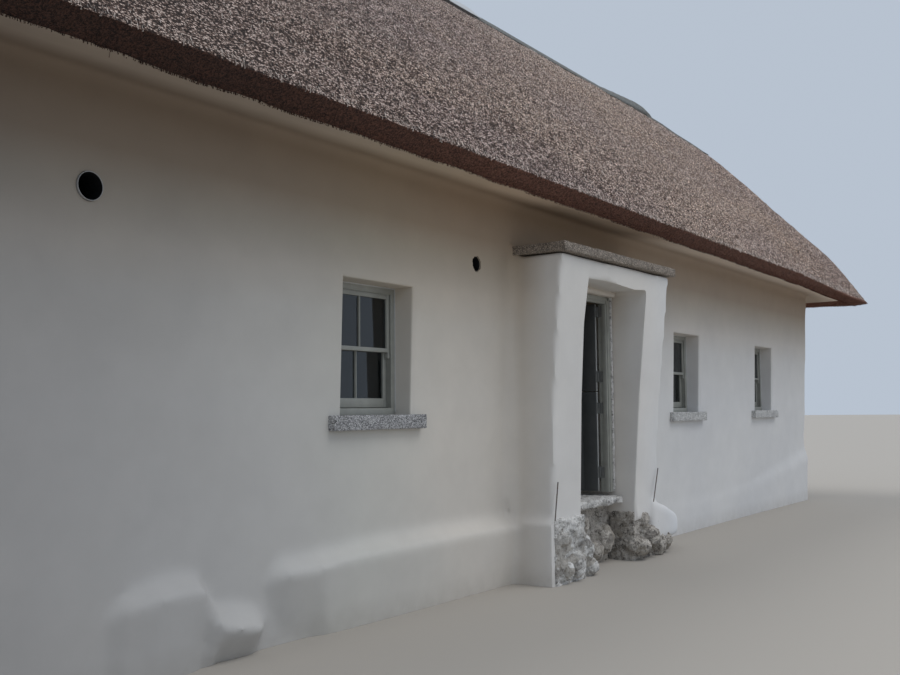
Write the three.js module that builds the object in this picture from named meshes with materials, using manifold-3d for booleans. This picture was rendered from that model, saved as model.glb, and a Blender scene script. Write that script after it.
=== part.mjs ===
// A long, low thatched cottage with lime-plastered walls, a stone porch and a half door.
// Millimetres, +Z up. +X runs along the front wall and the front faces -Y.
// The origin is the middle of the plan, at the level of the lowest ground.

import * as THREE from 'three';
import { ConvexGeometry } from 'three/addons/geometries/ConvexGeometry.js';
import * as BufferGeometryUtils from 'three/addons/utils/BufferGeometryUtils.js';
import Module from 'manifold-3d';

const wasm = await Module();
wasm.setup();

// Clearance that separate pieces keep where they meet
const SEAT = 0.3;

// Walls, measured at the level of the eaves soffit
const HALF_LENGTH = 8850;
const HALF_DEPTH = 2550;
const ROOM_HALF_LENGTH = 8200;
const ROOM_HALF_DEPTH = 1900;
const WALL_LEAN = 0.033;
const SOFFIT_Z = 3620;
const PLINTH_TOP_Z = 660;
const PLINTH_SHOULDER_Z = 450;
const PLINTH_SHOULDER_OUT = 90;
const PLINTH_FOOT_OUT = 110;
const FLOOR_Z = 730;
const FLOOR_THICK = 150;

// Thatch: a steep coat with hipped ends
const EAVES_OUT = 860;
const END_EAVES_OUT = 1280;
const PLAN_HALF_DEPTH = 2500;
const PLAN_HALF_LENGTH = 8800;
const EAVES_LIP_Z = 3600;
const EAVES_EDGE_BACK = 160;
const EAVES_EDGE_Z = 3500;
const EAVES_INNER_Z = 3640;
const RIDGE_Z = 7125;
const RIDGE_HALF = 7600;
const THATCH_THICK = 330;
const SHOULDER = { v: 1135, z: 6185 };
const BELLY = { v: 2775, z: 4380 };

// Ridge cover: stations along half its length, each with its thickness
const RIDGE_COVER_OUT = 200;
const RIDGE_COVER_STATIONS = [[0, 45], [5900, 45], [7350, 130], [7600, 115], [7740, 40]];
const RIDGE_COVER_EDGE = 0.6;
const RIDGE_COVER_HAUNCH = 0.4;

// Soffit boards under the thatch
const SOFFIT_OUTER_BACK = 10;
const SOFFIT_OUTER_DROP = 20;
const SOFFIT_INNER_THICK = 19.7;

// Windows
const FRONT_WINDOWS = [
  { x: -7050, sill: 1590, head: 2650 },
  { x: -3175, sill: 1590, head: 2650 },
  { x: 3270, sill: 1570, head: 2600 },
  { x: 6465, sill: 1575, head: 2575 },
];
const BACK_WINDOWS = [
  { x: -3220, sill: 1590, head: 2650 },
  { x: 3220, sill: 1590, head: 2650 },
];
const WINDOW_WIDE = 880;
const WINDOW_RECESS = 165;
const FRAME_BAR = 55;
const FRAME_DEEP = 110;
const SASH_BAR = 45;
const SASH_RECESS = 15;
const SASH_DEEP = 38;
const SASH_BOTTOM_RAIL = 75;
const SASH_LAP = 35;
const GLASS_THICK = 6;
const SILL_WIDE = 1150;
const SILL_THICK = 115;
const SILL_PROUD = 60;
const CUT_PROUD = 90;

// Porch
const PORCH_HALF = 1180;
const DOORWAY_HALF = 610;
const DOORWAY_HEAD_Z = 2890;
const PORCH_TOP_Z = 3090;
const PORCH_FRONT_LEVELS = {
  left: [[600, 2930], [1700, 2962], [2450, 3015], [3090, 3078]],
  right: [[600, 2922], [1700, 3000], [2450, 3075], [3090, 3142]],
};
const DOORWAY_FOOTING_FRONT = 2900;
const FOOTING_TOP_Z = 600;
const FOOTING_FRONT = 3010;
const FOOTING_SIDE_OUT = 65;
const APRON = [[1640, 0], [1600, 330], [1260, 600]];
const CAP_LEFT = -1225;
const CAP_RIGHT = 1265;
const CAP_THICK = 95;
const CAP_FRONT_LEFT = 3130;
const CAP_FRONT_RIGHT = 3200;

// Half door, hung inward on the right jamb
const DOOR_FRAME_FRONT = 2690;
const DOOR_FRAME_DEEP = 97;
const DOOR_CLEAR_HALF = 500;
const JAMB = 60;
const DOOR_HEAD_Z = 2830;
const DOOR_STOP = 14;
const DOOR_STOP_DEEP = 45;
const PACKING_BACK = 10;
const LEAF_GAP = 8;
const LEAF_THICK = 45;
const LEAF_SPLIT_Z = 1810;
const HINGE_SETBACK = 6;
const KNUCKLE_RADIUS = 8;
const HINGE_TALL = 120;
const HINGE_PLATE = 3;
const PLATE_MARGIN = 8;
const HINGE_HEIGHTS = { upper: [1970, 2680], lower: [940, 1630] };

// Round ways through the front wall
const DUCT_X = -5865;
const DUCT_Z = 2934;
const DUCT_RADIUS = 86;
const DUCT_WALL = 4;
const DUCT_PROUD = 18;
const HOLE_X = -1798;
const HOLE_Z = 2950;
const HOLE_RADIUS = 75;
const ROUND_SIDES = 32;

// Two short bars left standing in the footing
const BAR_RADIUS = 6;
const BAR_SIDES = 10;
const BAR_X = { left: -1213, right: 1005 };
const BAR_TOP_Z = { left: 950, right: 960 };
const BAR_LEAN = { left: 0.19, right: 0.39 };
const BAR_FRONT = 2972;

const COLOURS = {
  plaster: 0xb9b6ae,
  thatch: 0x7d6f66,
  ridge: 0x6f6a66,
  granite: 0xa3a3a2,
  joinery: 0x70736e,
  leaf: 0x4c5052,
  glass: 0x39434a,
  rubble: 0x8d877c,
  floor: 0x9a958c,
  steel: 0x6b6f72,
};

const cottage = new THREE.Group();

function finish(colour, roughness = 0.9, metalness = 0) {
  return new THREE.MeshStandardMaterial({ color: COLOURS[colour], roughness, metalness });
}

function place(name, geometry, material) {
  const mesh = new THREE.Mesh(geometry, material);
  mesh.name = name;
  cottage.add(mesh);
  return mesh;
}

function bare(geometry) {
  const plain = geometry.clone();
  plain.deleteAttribute('normal');
  plain.deleteAttribute('uv');
  return BufferGeometryUtils.mergeVertices(plain, 1e-3);
}

function solid(geometry) {
  const merged = bare(geometry);
  return new wasm.Manifold(new wasm.Mesh({
    numProp: 3,
    vertProperties: new Float32Array(merged.attributes.position.array),
    triVerts: new Uint32Array(merged.index.array),
  }));
}

function meshed(manifold) {
  const mesh = manifold.getMesh();
  const geometry = new THREE.BufferGeometry();
  geometry.setAttribute('position', new THREE.BufferAttribute(mesh.vertProperties, 3));
  geometry.setIndex(new THREE.BufferAttribute(mesh.triVerts, 1));
  return geometry;
}

// A box from its lowest to its highest corner
function block(x0, x1, y0, y1, z0, z1) {
  const geometry = new THREE.BoxGeometry(x1 - x0, y1 - y0, z1 - z0);
  geometry.translate((x0 + x1) / 2, (y0 + y1) / 2, (z0 + z1) / 2);
  return geometry;
}

// An outline in Y and Z carried along X
function alongX(points, x0, x1) {
  const shape = new THREE.Shape(points.map(([y, z]) => new THREE.Vector2(y, z)));
  const geometry = new THREE.ExtrudeGeometry(shape, { depth: x1 - x0, bevelEnabled: false });
  const turn = new THREE.Matrix4().set(0, 0, 1, x0, 1, 0, 0, 0, 0, 1, 0, 0, 0, 0, 0, 1);
  return geometry.applyMatrix4(turn);
}

// A shape drawn in X and Z, carried back along +Y from y0
function alongY(shape, y0, deep) {
  const geometry = new THREE.ExtrudeGeometry(shape, { depth: deep, bevelEnabled: false });
  const turn = new THREE.Matrix4().set(1, 0, 0, 0, 0, 0, -1, y0 + deep, 0, 1, 0, 0, 0, 0, 0, 1);
  return geometry.applyMatrix4(turn);
}

function outline(points) {
  return new THREE.Shape(points.map(([x, z]) => new THREE.Vector2(x, z)));
}

function rectangle(x0, x1, z0, z1) {
  return outline([[x0, z0], [x1, z0], [x1, z1], [x0, z1]]);
}

function upright(radius, z0, z1, x, y, sides = 16) {
  const geometry = new THREE.CylinderGeometry(radius, radius, z1 - z0, sides);
  geometry.rotateX(Math.PI / 2);
  return geometry.translate(x, y, (z0 + z1) / 2);
}

function roundAlongY(radius, x, z, y0, y1) {
  const geometry = new THREE.CylinderGeometry(radius, radius, y1 - y0, ROUND_SIDES);
  return geometry.translate(x, (y0 + y1) / 2, z);
}

// Roof planes. A section is written as distance from the ridge line (v) and height (z).
const LIP_V = PLAN_HALF_DEPTH + EAVES_OUT;
const LIP_X = PLAN_HALF_LENGTH + END_EAVES_OUT;
const SLOPE = (RIDGE_Z - EAVES_LIP_Z) / LIP_V;
const INNER_RIDGE_Z = RIDGE_Z - THATCH_THICK * Math.hypot(1, SLOPE);
const EDGE_V = LIP_V - EAVES_EDGE_BACK;
const INNER_V = (INNER_RIDGE_Z - EAVES_INNER_Z) / SLOPE;

// The plane where a long slope meets a hip end also passes over the wall's corner at soffit level
const MITRE_PER_Z = (RIDGE_HALF + (LIP_X - RIDGE_HALF) * HALF_DEPTH / LIP_V - HALF_LENGTH)
  / ((RIDGE_Z - SOFFIT_Z) - (RIDGE_Z - EAVES_LIP_Z) * HALF_DEPTH / LIP_V);
const MITRE_PER_V = (LIP_X - RIDGE_HALF + MITRE_PER_Z * (RIDGE_Z - EAVES_LIP_Z)) / LIP_V;

function onMitre(v, z) {
  return RIDGE_HALF + MITRE_PER_V * v + MITRE_PER_Z * (z - RIDGE_Z);
}

// The slopes swell: they leave the ridge at an easy pitch and steepen towards the eaves
const THATCH_SECTION = [
  [0, RIDGE_Z],
  [SHOULDER.v, SHOULDER.z],
  [BELLY.v, BELLY.z],
  [LIP_V, EAVES_LIP_Z],
  [EDGE_V, EAVES_EDGE_Z],
  [INNER_V, EAVES_INNER_Z],
  [0, INNER_RIDGE_Z],
];
const WALL_TOP_Z = INNER_RIDGE_Z - SLOPE * HALF_DEPTH - SEAT * 2;

// Distance of a wall's outer face from the middle of the plan, for a half size at soffit level
function facePoints(half) {
  const lowFace = half - WALL_LEAN * (SOFFIT_Z - PLINTH_TOP_Z);
  return [
    [lowFace + PLINTH_FOOT_OUT, 0],
    [lowFace + PLINTH_SHOULDER_OUT, PLINTH_SHOULDER_Z],
    [lowFace, PLINTH_TOP_Z],
    [half, SOFFIT_Z],
    [half, WALL_TOP_Z],
  ];
}

const FRONT_FACE = facePoints(HALF_DEPTH);

function frontFaceAt(z) {
  const i = Math.max(FRONT_FACE.findIndex(([, top]) => top >= z), 1);
  const [v0, z0] = FRONT_FACE[i - 1];
  const [v1, z1] = FRONT_FACE[i];
  return v0 + (v1 - v0) * (z - z0) / (z1 - z0);
}

function mirrored(points) {
  return [...points, ...points.map(([v, z]) => [-v, z]).reverse()];
}

function wallMass() {
  const along = solid(alongX(mirrored(FRONT_FACE), -HALF_LENGTH * 1.1, HALF_LENGTH * 1.1));
  const across = outline(mirrored(facePoints(HALF_LENGTH)));
  return along.intersect(solid(alongY(across, -HALF_DEPTH * 1.2, HALF_DEPTH * 2.4)));
}

function windowCut({ x, sill, head }, side) {
  const half = WINDOW_WIDE / 2;
  const ys = [side * HALF_DEPTH * 1.2, side * ROOM_HALF_DEPTH * 0.9].sort((a, b) => a - b);
  const hole = block(x - half, x + half, ys[0], ys[1], sill, head);
  return solid(hole).add(solid(sillBlock({ x, sill }, side, CUT_PROUD, SEAT)));
}

// The sill runs back under the frame; the cut for it is a clearance larger
function sillBlock({ x, sill }, side, proud, clearance = 0) {
  const outer = frontFaceAt(sill) + proud;
  const inner = frontFaceAt(sill) - WINDOW_RECESS - FRAME_DEEP - clearance;
  const half = SILL_WIDE / 2 + clearance;
  const ys = [side * inner, side * outer].sort((a, b) => a - b);
  return block(x - half, x + half, ys[0], ys[1], sill - SILL_THICK - clearance, sill + clearance);
}

function buildWalls() {
  const mass = wallMass();
  const plaster = () => finish('plaster', 0.95);
  const reach = HALF_LENGTH * 1.2;
  const deep = HALF_DEPTH * 1.2;
  const high = WALL_TOP_Z + 100;
  const inside = ROOM_HALF_DEPTH;
  const cut = (x0, x1, y0, y1, z0) => mass.intersect(solid(block(x0, x1, y0, y1, z0, high)));

  let left = cut(-reach, -DOORWAY_HALF, -deep, -inside, -1);
  let right = cut(DOORWAY_HALF, reach, -deep, -inside, -1);
  let back = cut(-reach, reach, inside, deep, -1);
  for (const opening of FRONT_WINDOWS) {
    left = left.subtract(windowCut(opening, -1));
    right = right.subtract(windowCut(opening, -1));
  }
  for (const opening of BACK_WINDOWS) back = back.subtract(windowCut(opening, 1));
  left = left.subtract(solid(roundAlongY(DUCT_RADIUS + SEAT, DUCT_X, DUCT_Z, -deep, 0)));
  left = left.subtract(solid(roundAlongY(HOLE_RADIUS, HOLE_X, HOLE_Z, -deep, 0)));
  place('front_wall_left', meshed(left), plaster());
  place('front_wall_right', meshed(right), plaster());
  place('back_wall', meshed(back), plaster());

  const half = DOORWAY_HALF - SEAT;
  place('front_wall_over_door', meshed(cut(-half, half, -deep, -inside, DOORWAY_HEAD_Z)), plaster());
  const end = inside - SEAT;
  place('left_end_wall', meshed(cut(-reach, -ROOM_HALF_LENGTH, -end, end, -1)), plaster());
  place('right_end_wall', meshed(cut(ROOM_HALF_LENGTH, reach, -end, end, -1)), plaster());
}

function buildFloor() {
  const x = ROOM_HALF_LENGTH - SEAT;
  const y = ROOM_HALF_DEPTH - SEAT;
  place('floor_slab', block(-x, x, -y, y, FLOOR_Z - FLOOR_THICK, FLOOR_Z), finish('floor'));
}

// A thatch slope is convex, so its corner points give it whole
function buildThatch() {
  for (const [name, side] of [['thatch_front_slope', -1], ['thatch_back_slope', 1]]) {
    const points = [];
    for (const [v, z] of THATCH_SECTION) {
      const y = side * Math.max(v, SEAT / 2);
      for (const end of [-1, 1]) points.push(new THREE.Vector3(end * onMitre(v, z), y, z));
    }
    place(name, new ConvexGeometry(points), finish('thatch', 1));
  }
  for (const [name, end] of [['thatch_left_hip', -1], ['thatch_right_hip', 1]]) {
    const points = [];
    for (const [v, z] of THATCH_SECTION) {
      const x = end * (onMitre(v, z) + SEAT * 1.5);
      for (const side of v ? [-1, 1] : [1]) points.push(new THREE.Vector3(x, side * v, z));
    }
    place(name, new ConvexGeometry(points), finish('thatch', 1));
  }
}

// The cover's half section at one station, as corner points at both sides of the ridge
function coverCorners(x, thick) {
  const haunch = RIDGE_COVER_OUT * RIDGE_COVER_HAUNCH;
  const half = [
    [RIDGE_COVER_OUT, coverUnderside(RIDGE_COVER_OUT)],
    [RIDGE_COVER_OUT, coverUnderside(RIDGE_COVER_OUT) + thick * RIDGE_COVER_EDGE],
    [haunch, coverUnderside(haunch) + thick],
    [0, coverUnderside(0) + thick],
  ];
  return half.flatMap(([v, z]) => [new THREE.Vector3(x, -v, z), new THREE.Vector3(x, v, z)]);
}

function coverUnderside(v) {
  const slope = (RIDGE_Z - SHOULDER.z) / SHOULDER.v;
  return RIDGE_Z + SEAT * Math.hypot(1, slope) - v * slope;
}

// The cover is thicker towards its ends, and sits down over the top of both long slopes
function buildRidgeCover() {
  const stations = [
    ...RIDGE_COVER_STATIONS.slice(1).map(([x, thick]) => [-x, thick]).reverse(),
    ...RIDGE_COVER_STATIONS,
  ];
  const lengths = stations.slice(1).map((station, i) => {
    return solid(new ConvexGeometry([...coverCorners(...stations[i]), ...coverCorners(...station)]));
  });
  const deep = RIDGE_COVER_OUT * 2;
  const under = [[-deep, coverUnderside(deep)], [deep, coverUnderside(deep)], [0, coverUnderside(0)]];
  const cover = lengths.reduce((whole, length) => whole.add(length));
  place('ridge_cover', meshed(cover.subtract(solid(alongX(under, -LIP_X, LIP_X)))), finish('ridge', 1));
}

function buildSoffits() {
  const outerV = EDGE_V - SOFFIT_OUTER_BACK;
  const rise = (EAVES_INNER_Z - EAVES_EDGE_Z) / (EDGE_V - INNER_V);
  const section = [
    [HALF_DEPTH + SEAT, SOFFIT_Z],
    [outerV, EAVES_EDGE_Z - SOFFIT_OUTER_DROP],
    [outerV, EAVES_EDGE_Z + rise * SOFFIT_OUTER_BACK - SEAT],
    [INNER_V, EAVES_INNER_Z - SEAT],
    [HALF_DEPTH + SEAT, SOFFIT_Z + SOFFIT_INNER_THICK],
  ];
  for (const [name, side] of [['soffit_front', -1], ['soffit_back', 1]]) {
    const points = [];
    for (const [v, z] of section) {
      for (const end of [-1, 1]) points.push(new THREE.Vector3(end * (onMitre(v, z) - SEAT), side * v, z));
    }
    place(name, new ConvexGeometry(points), finish('plaster', 0.95));
  }
  for (const [name, end] of [['soffit_left_end', -1], ['soffit_right_end', 1]]) {
    const points = [];
    for (const [v, z] of section) {
      const x = end * (onMitre(v, z) + SEAT);
      for (const side of [-1, 1]) points.push(new THREE.Vector3(x, side * v, z));
    }
    place(name, new ConvexGeometry(points), finish('plaster', 0.95));
  }
}

// A frame is a rectangle with a rectangular hole, carried back from its front
function ring(x0, x1, z0, z1, bars, y0, deep) {
  const shape = rectangle(x0, x1, z0, z1);
  shape.holes.push(rectangle(x0 + bars.side, x1 - bars.side, z0 + bars.bottom, z1 - bars.top));
  return alongY(shape, y0, deep);
}

// Frame and both sashes are one piece of joinery; a sheet behind them closes the window
function windowJoinery({ x, sill, head }) {
  const front = -(frontFaceAt(sill) - WINDOW_RECESS);
  const half = WINDOW_WIDE / 2 - SEAT;
  const low = sill + SEAT;
  const high = head - SEAT;
  const frameBar = { side: FRAME_BAR, bottom: FRAME_BAR, top: FRAME_BAR };
  const frame = ring(x - half, x + half, low, high, frameBar, front, FRAME_DEEP);

  const inner = half - FRAME_BAR;
  const bottom = low + FRAME_BAR;
  const top = high - FRAME_BAR;
  const middle = (bottom + top) / 2;
  const lap = SASH_LAP / 2;
  const tuck = 1;
  const upperY = front + SASH_RECESS;
  const lowerY = upperY + SASH_DEEP;
  const upperBar = { side: SASH_BAR + tuck, bottom: SASH_LAP, top: SASH_BAR + tuck };
  const lowerBar = { side: SASH_BAR + tuck, bottom: SASH_BOTTOM_RAIL + tuck, top: SASH_LAP };
  const sides = [x - inner - tuck, x + inner + tuck];
  const upper = ring(...sides, middle - lap, top + tuck, upperBar, upperY, SASH_DEEP + tuck);
  const lower = ring(...sides, bottom - tuck, middle + lap, lowerBar, lowerY, SASH_DEEP);
  const joinery = solid(frame).add(solid(upper)).add(solid(lower));

  const paneY = lowerY + SASH_DEEP + SEAT;
  const [paneX0, paneX1] = [x - inner + SEAT, x + inner - SEAT];
  const pane = block(paneX0, paneX1, paneY, paneY + GLASS_THICK, bottom + SEAT, top - SEAT);
  return [meshed(joinery), pane];
}

function buildWindows() {
  for (const [wall, openings, side] of [['front', FRONT_WINDOWS, -1], ['back', BACK_WINDOWS, 1]]) {
    openings.forEach((opening, i) => {
      const [joinery, pane] = windowJoinery({ ...opening, x: -side * opening.x });
      const turn = side > 0 ? Math.PI : 0;
      const name = `${wall}_window_${i + 1}`;
      place(`${name}_sashes`, joinery.rotateZ(turn), finish('joinery', 0.55));
      place(`${name}_glass`, pane.rotateZ(turn), finish('glass', 0.05));
      place(`${name}_sill`, sillBlock(opening, side, SILL_PROUD), finish('granite', 0.8));
    });
  }
}

function levelAt(points, z) {
  const i = Math.max(points.findIndex(([top]) => top >= z), 1);
  const [z0, v0] = points[i - 1];
  const [z1, v1] = points[i];
  return v0 + (v1 - v0) * (z - z0) / (z1 - z0);
}

// The porch front leans out as it rises, more at its right side than at its left
function porchFrontAt(x, z) {
  const across = (x + PORCH_HALF) / (2 * PORCH_HALF);
  return levelAt(PORCH_FRONT_LEVELS.left, z) * (1 - across) + levelAt(PORCH_FRONT_LEVELS.right, z) * across;
}

// A block between two upright planes, with the porch front before it and the main wall behind it
function porchBlock(x0, x1, z0, z1) {
  const levels = (heights) => [z0, ...heights.filter((z) => z > z0 && z < z1), z1];
  const back = levels(FRONT_FACE.map(([, z]) => z)).map((z) => [-(frontFaceAt(z) + SEAT), z]);
  const flat = -PORCH_FRONT_LEVELS.left[0][1];
  const front = levels(PORCH_FRONT_LEVELS.left.map(([z]) => z)).map((z) => [flat, z]);
  const geometry = alongX([...back, ...front.reverse()], x0, x1);
  const corners = geometry.attributes.position;
  for (let i = 0; i < corners.count; i += 1) {
    const onFront = Math.abs(corners.getY(i) - flat) < 1;
    if (onFront) corners.setY(i, -porchFrontAt(corners.getX(i), corners.getZ(i)));
  }
  return geometry;
}

function flatTopped(plan, z0, z1) {
  const shape = new THREE.Shape(plan.map(([x, y]) => new THREE.Vector2(x, y)));
  return new THREE.ExtrudeGeometry(shape, { depth: z1 - z0, bevelEnabled: false }).translate(0, 0, z0);
}

function buildPorch() {
  const low = FOOTING_TOP_Z + SEAT;
  const plaster = () => finish('plaster', 0.95);
  place('porch_left_cheek', porchBlock(-PORCH_HALF, -DOORWAY_HALF, low, PORCH_TOP_Z), plaster());
  place('porch_right_cheek', porchBlock(DOORWAY_HALF, PORCH_HALF, low, PORCH_TOP_Z), plaster());
  const half = DOORWAY_HALF - SEAT;
  place('porch_head', porchBlock(-half, half, DOORWAY_HEAD_Z, PORCH_TOP_Z), plaster());

  const capBack = -(HALF_DEPTH + SEAT);
  const capLow = PORCH_TOP_Z + SEAT;
  const capPlan = [
    [CAP_LEFT, -CAP_FRONT_LEFT], [CAP_RIGHT, -CAP_FRONT_RIGHT], [CAP_RIGHT, capBack], [CAP_LEFT, capBack],
  ];
  place('porch_cap', flatTopped(capPlan, capLow, capLow + CAP_THICK), finish('granite', 0.85));

  const back = -(FRONT_FACE[0][0] + SEAT);
  const deep = FOOTING_FRONT + back;
  const left = rectangle(-PORCH_HALF - FOOTING_SIDE_OUT, -DOORWAY_HALF, 0, FOOTING_TOP_Z);
  place('porch_left_footing', alongY(left, -FOOTING_FRONT, deep), finish('rubble', 1));
  const right = outline([[DOORWAY_HALF, 0], ...APRON, [DOORWAY_HALF, FOOTING_TOP_Z]]);
  place('porch_right_footing', alongY(right, -FOOTING_FRONT, deep), finish('rubble', 1));

  const inner = -(ROOM_HALF_DEPTH + SEAT);
  const threshold = block(-half, half, -DOORWAY_FOOTING_FRONT, inner, 0, FLOOR_Z);
  place('doorway_footing', threshold, finish('rubble', 1));
}

const LEAF_FRONT = DOOR_FRAME_FRONT - DOOR_STOP_DEEP - 10;
const LEAF_BACK = LEAF_FRONT - LEAF_THICK;
const HINGE_Y = -(LEAF_BACK - HINGE_SETBACK);
const HINGE_X = DOOR_CLEAR_HALF;

function buildDoorFrame() {
  const front = -DOOR_FRAME_FRONT;
  const low = FLOOR_Z + SEAT;
  const clearTop = DOOR_HEAD_Z - JAMB;
  const deep = DOOR_FRAME_DEEP;
  const post = (sign) => {
    const edge = DOOR_CLEAR_HALF;
    const stop = edge - DOOR_STOP;
    const outer = edge + JAMB;
    const plan = [
      [outer, front], [outer, front + deep], [edge, front + deep],
      [edge, front + DOOR_STOP_DEEP], [stop, front + DOOR_STOP_DEEP], [stop, front],
    ].map(([x, y]) => new THREE.Vector2(sign * x, y));
    const shape = new THREE.Shape(sign > 0 ? plan : plan.reverse());
    const top = DOOR_HEAD_Z - JAMB - SEAT;
    return new THREE.ExtrudeGeometry(shape, { depth: top - low, bevelEnabled: false }).translate(0, 0, low);
  };
  place('door_jamb_left', post(-1), finish('joinery', 0.55));
  let right = solid(post(1));
  for (const z of [...HINGE_HEIGHTS.lower, ...HINGE_HEIGHTS.upper]) right = right.add(jambPlate(z));
  place('door_jamb_right', meshed(right), finish('joinery', 0.55));
  const outer = DOOR_CLEAR_HALF + JAMB;
  const head = block(-outer, outer, front, front + deep, clearTop, DOOR_HEAD_Z);
  place('door_head', head, finish('joinery', 0.55));

  const edge = DOORWAY_HALF - SEAT;
  const gap = outer + SEAT;
  const top = DOOR_HEAD_Z + SEAT;
  const high = DOORWAY_HEAD_Z - SEAT;
  const packing = outline([
    [-edge, low], [-gap, low], [-gap, top], [gap, top], [gap, low], [edge, low], [edge, high], [-edge, high],
  ]);
  const mortar = alongY(packing, front + PACKING_BACK, deep - 2 * PACKING_BACK);
  place('door_frame_packing', mortar, finish('rubble', 1));
}

// The leaves are drawn standing open at a right angle, as they rest
function openBlock(along0, along1, back0, back1, z0, z1) {
  return block(HINGE_X - back1, HINGE_X - back0, HINGE_Y + along0, HINGE_Y + along1, z0, z1);
}

function buildLeaf(name, z0, z1) {
  const wide = DOOR_CLEAR_HALF * 2 - LEAF_GAP * 2;
  const near = LEAF_GAP;
  const back = HINGE_SETBACK;
  place(`${name}_leaf`, openBlock(near, near + wide, back, back + LEAF_THICK, z0, z1), finish('leaf', 0.5));

  for (const [i, z] of HINGE_HEIGHTS[name].entries()) {
    const bottom = z - HINGE_TALL / 2;
    const top = z + HINGE_TALL / 2;
    const knuckle = solid(upright(KNUCKLE_RADIUS, bottom, top, HINGE_X, HINGE_Y));
    const plateBack = back + LEAF_THICK - PLATE_MARGIN;
    const plate = openBlock(near - SEAT - HINGE_PLATE, near - SEAT, 0, plateBack, bottom, top);
    const end = i ? 'top' : 'bottom';
    place(`${name}_leaf_${end}_hinge`, meshed(knuckle.add(solid(plate))), finish('steel', 0.4, 0.8));
  }
}

// The hinge plates fixed to the jamb are one with it
function jambPlate(z) {
  return solid(block(
    HINGE_X - HINGE_PLATE, HINGE_X + HINGE_PLATE,
    -DOOR_FRAME_FRONT + DOOR_STOP_DEEP + PLATE_MARGIN, HINGE_Y - KNUCKLE_RADIUS - SEAT,
    z - HINGE_TALL / 2, z + HINGE_TALL / 2,
  ));
}

function buildDoor() {
  buildDoorFrame();
  buildLeaf('lower', FLOOR_Z + LEAF_GAP, LEAF_SPLIT_Z - LEAF_GAP / 2);
  buildLeaf('upper', LEAF_SPLIT_Z + LEAF_GAP / 2, DOOR_HEAD_Z - JAMB - LEAF_GAP);
}

function buildDuct() {
  const shape = new THREE.Shape().absarc(DUCT_X, DUCT_Z, DUCT_RADIUS, 0, Math.PI * 2);
  shape.holes.push(new THREE.Path().absarc(DUCT_X, DUCT_Z, DUCT_RADIUS - DUCT_WALL, 0, Math.PI * 2));
  const front = frontFaceAt(DUCT_Z) + DUCT_PROUD;
  const tube = new THREE.ExtrudeGeometry(shape, {
    depth: front - ROOM_HALF_DEPTH, bevelEnabled: false, curveSegments: ROUND_SIDES / 2,
  });
  const turn = new THREE.Matrix4().set(1, 0, 0, 0, 0, 0, -1, -ROOM_HALF_DEPTH, 0, 1, 0, 0, 0, 0, 0, 1);
  place('vent_duct', tube.applyMatrix4(turn), finish('steel', 0.5, 0.3));
}

function buildBars() {
  for (const side of ['left', 'right']) {
    const low = FOOTING_TOP_Z + SEAT;
    const bar = upright(BAR_RADIUS, 0, BAR_TOP_Z[side] - low, 0, 0, BAR_SIDES);
    const lean = new THREE.Matrix4().makeShear(0, 0, 0, 0, BAR_LEAN[side], 0);
    bar.applyMatrix4(lean).translate(BAR_X[side], -BAR_FRONT, low);
    place(`starter_bar_${side}`, bar, finish('steel', 0.9));
  }
}

buildWalls();
buildFloor();
buildThatch();
buildRidgeCover();
buildSoffits();
buildWindows();
buildPorch();
buildDoor();
buildDuct();
buildBars();

export default cottage;
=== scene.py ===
import math
import random

import bmesh
import bpy
from mathutils import Matrix, Vector


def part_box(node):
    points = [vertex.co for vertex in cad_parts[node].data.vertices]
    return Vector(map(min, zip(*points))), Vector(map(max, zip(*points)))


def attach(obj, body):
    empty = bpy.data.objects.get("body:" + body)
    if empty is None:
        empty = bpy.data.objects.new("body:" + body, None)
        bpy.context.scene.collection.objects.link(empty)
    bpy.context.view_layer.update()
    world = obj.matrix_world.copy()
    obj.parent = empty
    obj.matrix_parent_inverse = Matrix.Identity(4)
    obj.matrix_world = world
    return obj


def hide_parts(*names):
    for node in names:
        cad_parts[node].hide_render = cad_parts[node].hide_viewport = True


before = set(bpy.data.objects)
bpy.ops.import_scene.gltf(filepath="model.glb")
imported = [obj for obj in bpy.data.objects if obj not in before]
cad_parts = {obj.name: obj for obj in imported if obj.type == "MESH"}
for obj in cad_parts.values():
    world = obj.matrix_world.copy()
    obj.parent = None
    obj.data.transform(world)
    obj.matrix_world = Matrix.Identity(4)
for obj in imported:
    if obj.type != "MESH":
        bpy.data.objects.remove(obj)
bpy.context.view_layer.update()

# Metres, +Z up, +X along the front wall, the front facing -Y.

# Walls
WALL_HALF_LENGTH = 8.85
WALL_HALF_DEPTH = 2.55
ROOM_HALF_LENGTH = 8.2
ROOM_HALF_DEPTH = 1.9
WALL_LEAN = 0.033
SOFFIT_Z = 3.62
WALL_TOP_Z = 3.9
BURIED_Z = -0.3

# Eaves and roof planes
EAVES_EDGE_V = 3.165
EAVES_EDGE_Z = 3.505
EAVES_LIP_V = 3.36
EAVES_LIP_X = 10.08
EAVES_LIP_Z = 3.6
RIDGE_HALF = 7.6
RIDGE_Z = 7.125

# Porch
PORCH_HALF = 1.18
DOORWAY_HALF = 0.61
DOORWAY_FLARE = 0.04
DOORWAY_HEAD_Z = 2.89
PORCH_TOP_Z = 3.088
PORCH_LEVELS = (0.6, 1.7, 2.45, PORCH_TOP_Z)
PORCH_FRONT_LEFT = (2.93, 2.962, 3.015, 3.078)
PORCH_FRONT_RIGHT = (2.922, 3.0, 3.075, 3.142)

# Openings
REVEAL_HALF = 0.436
SILL_BED = 0.04
ARRIS = 0.022
SEAM_X = 2.1
DOORWAY_HEAD_WAVES = ((-0.24, 0.012), (0.36, -0.018))
HOLE_AT = (-1.798, 2.95)

# Windows, as (wall, how many)
WINDOWS = (("front", 4), ("back", 2))

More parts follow.
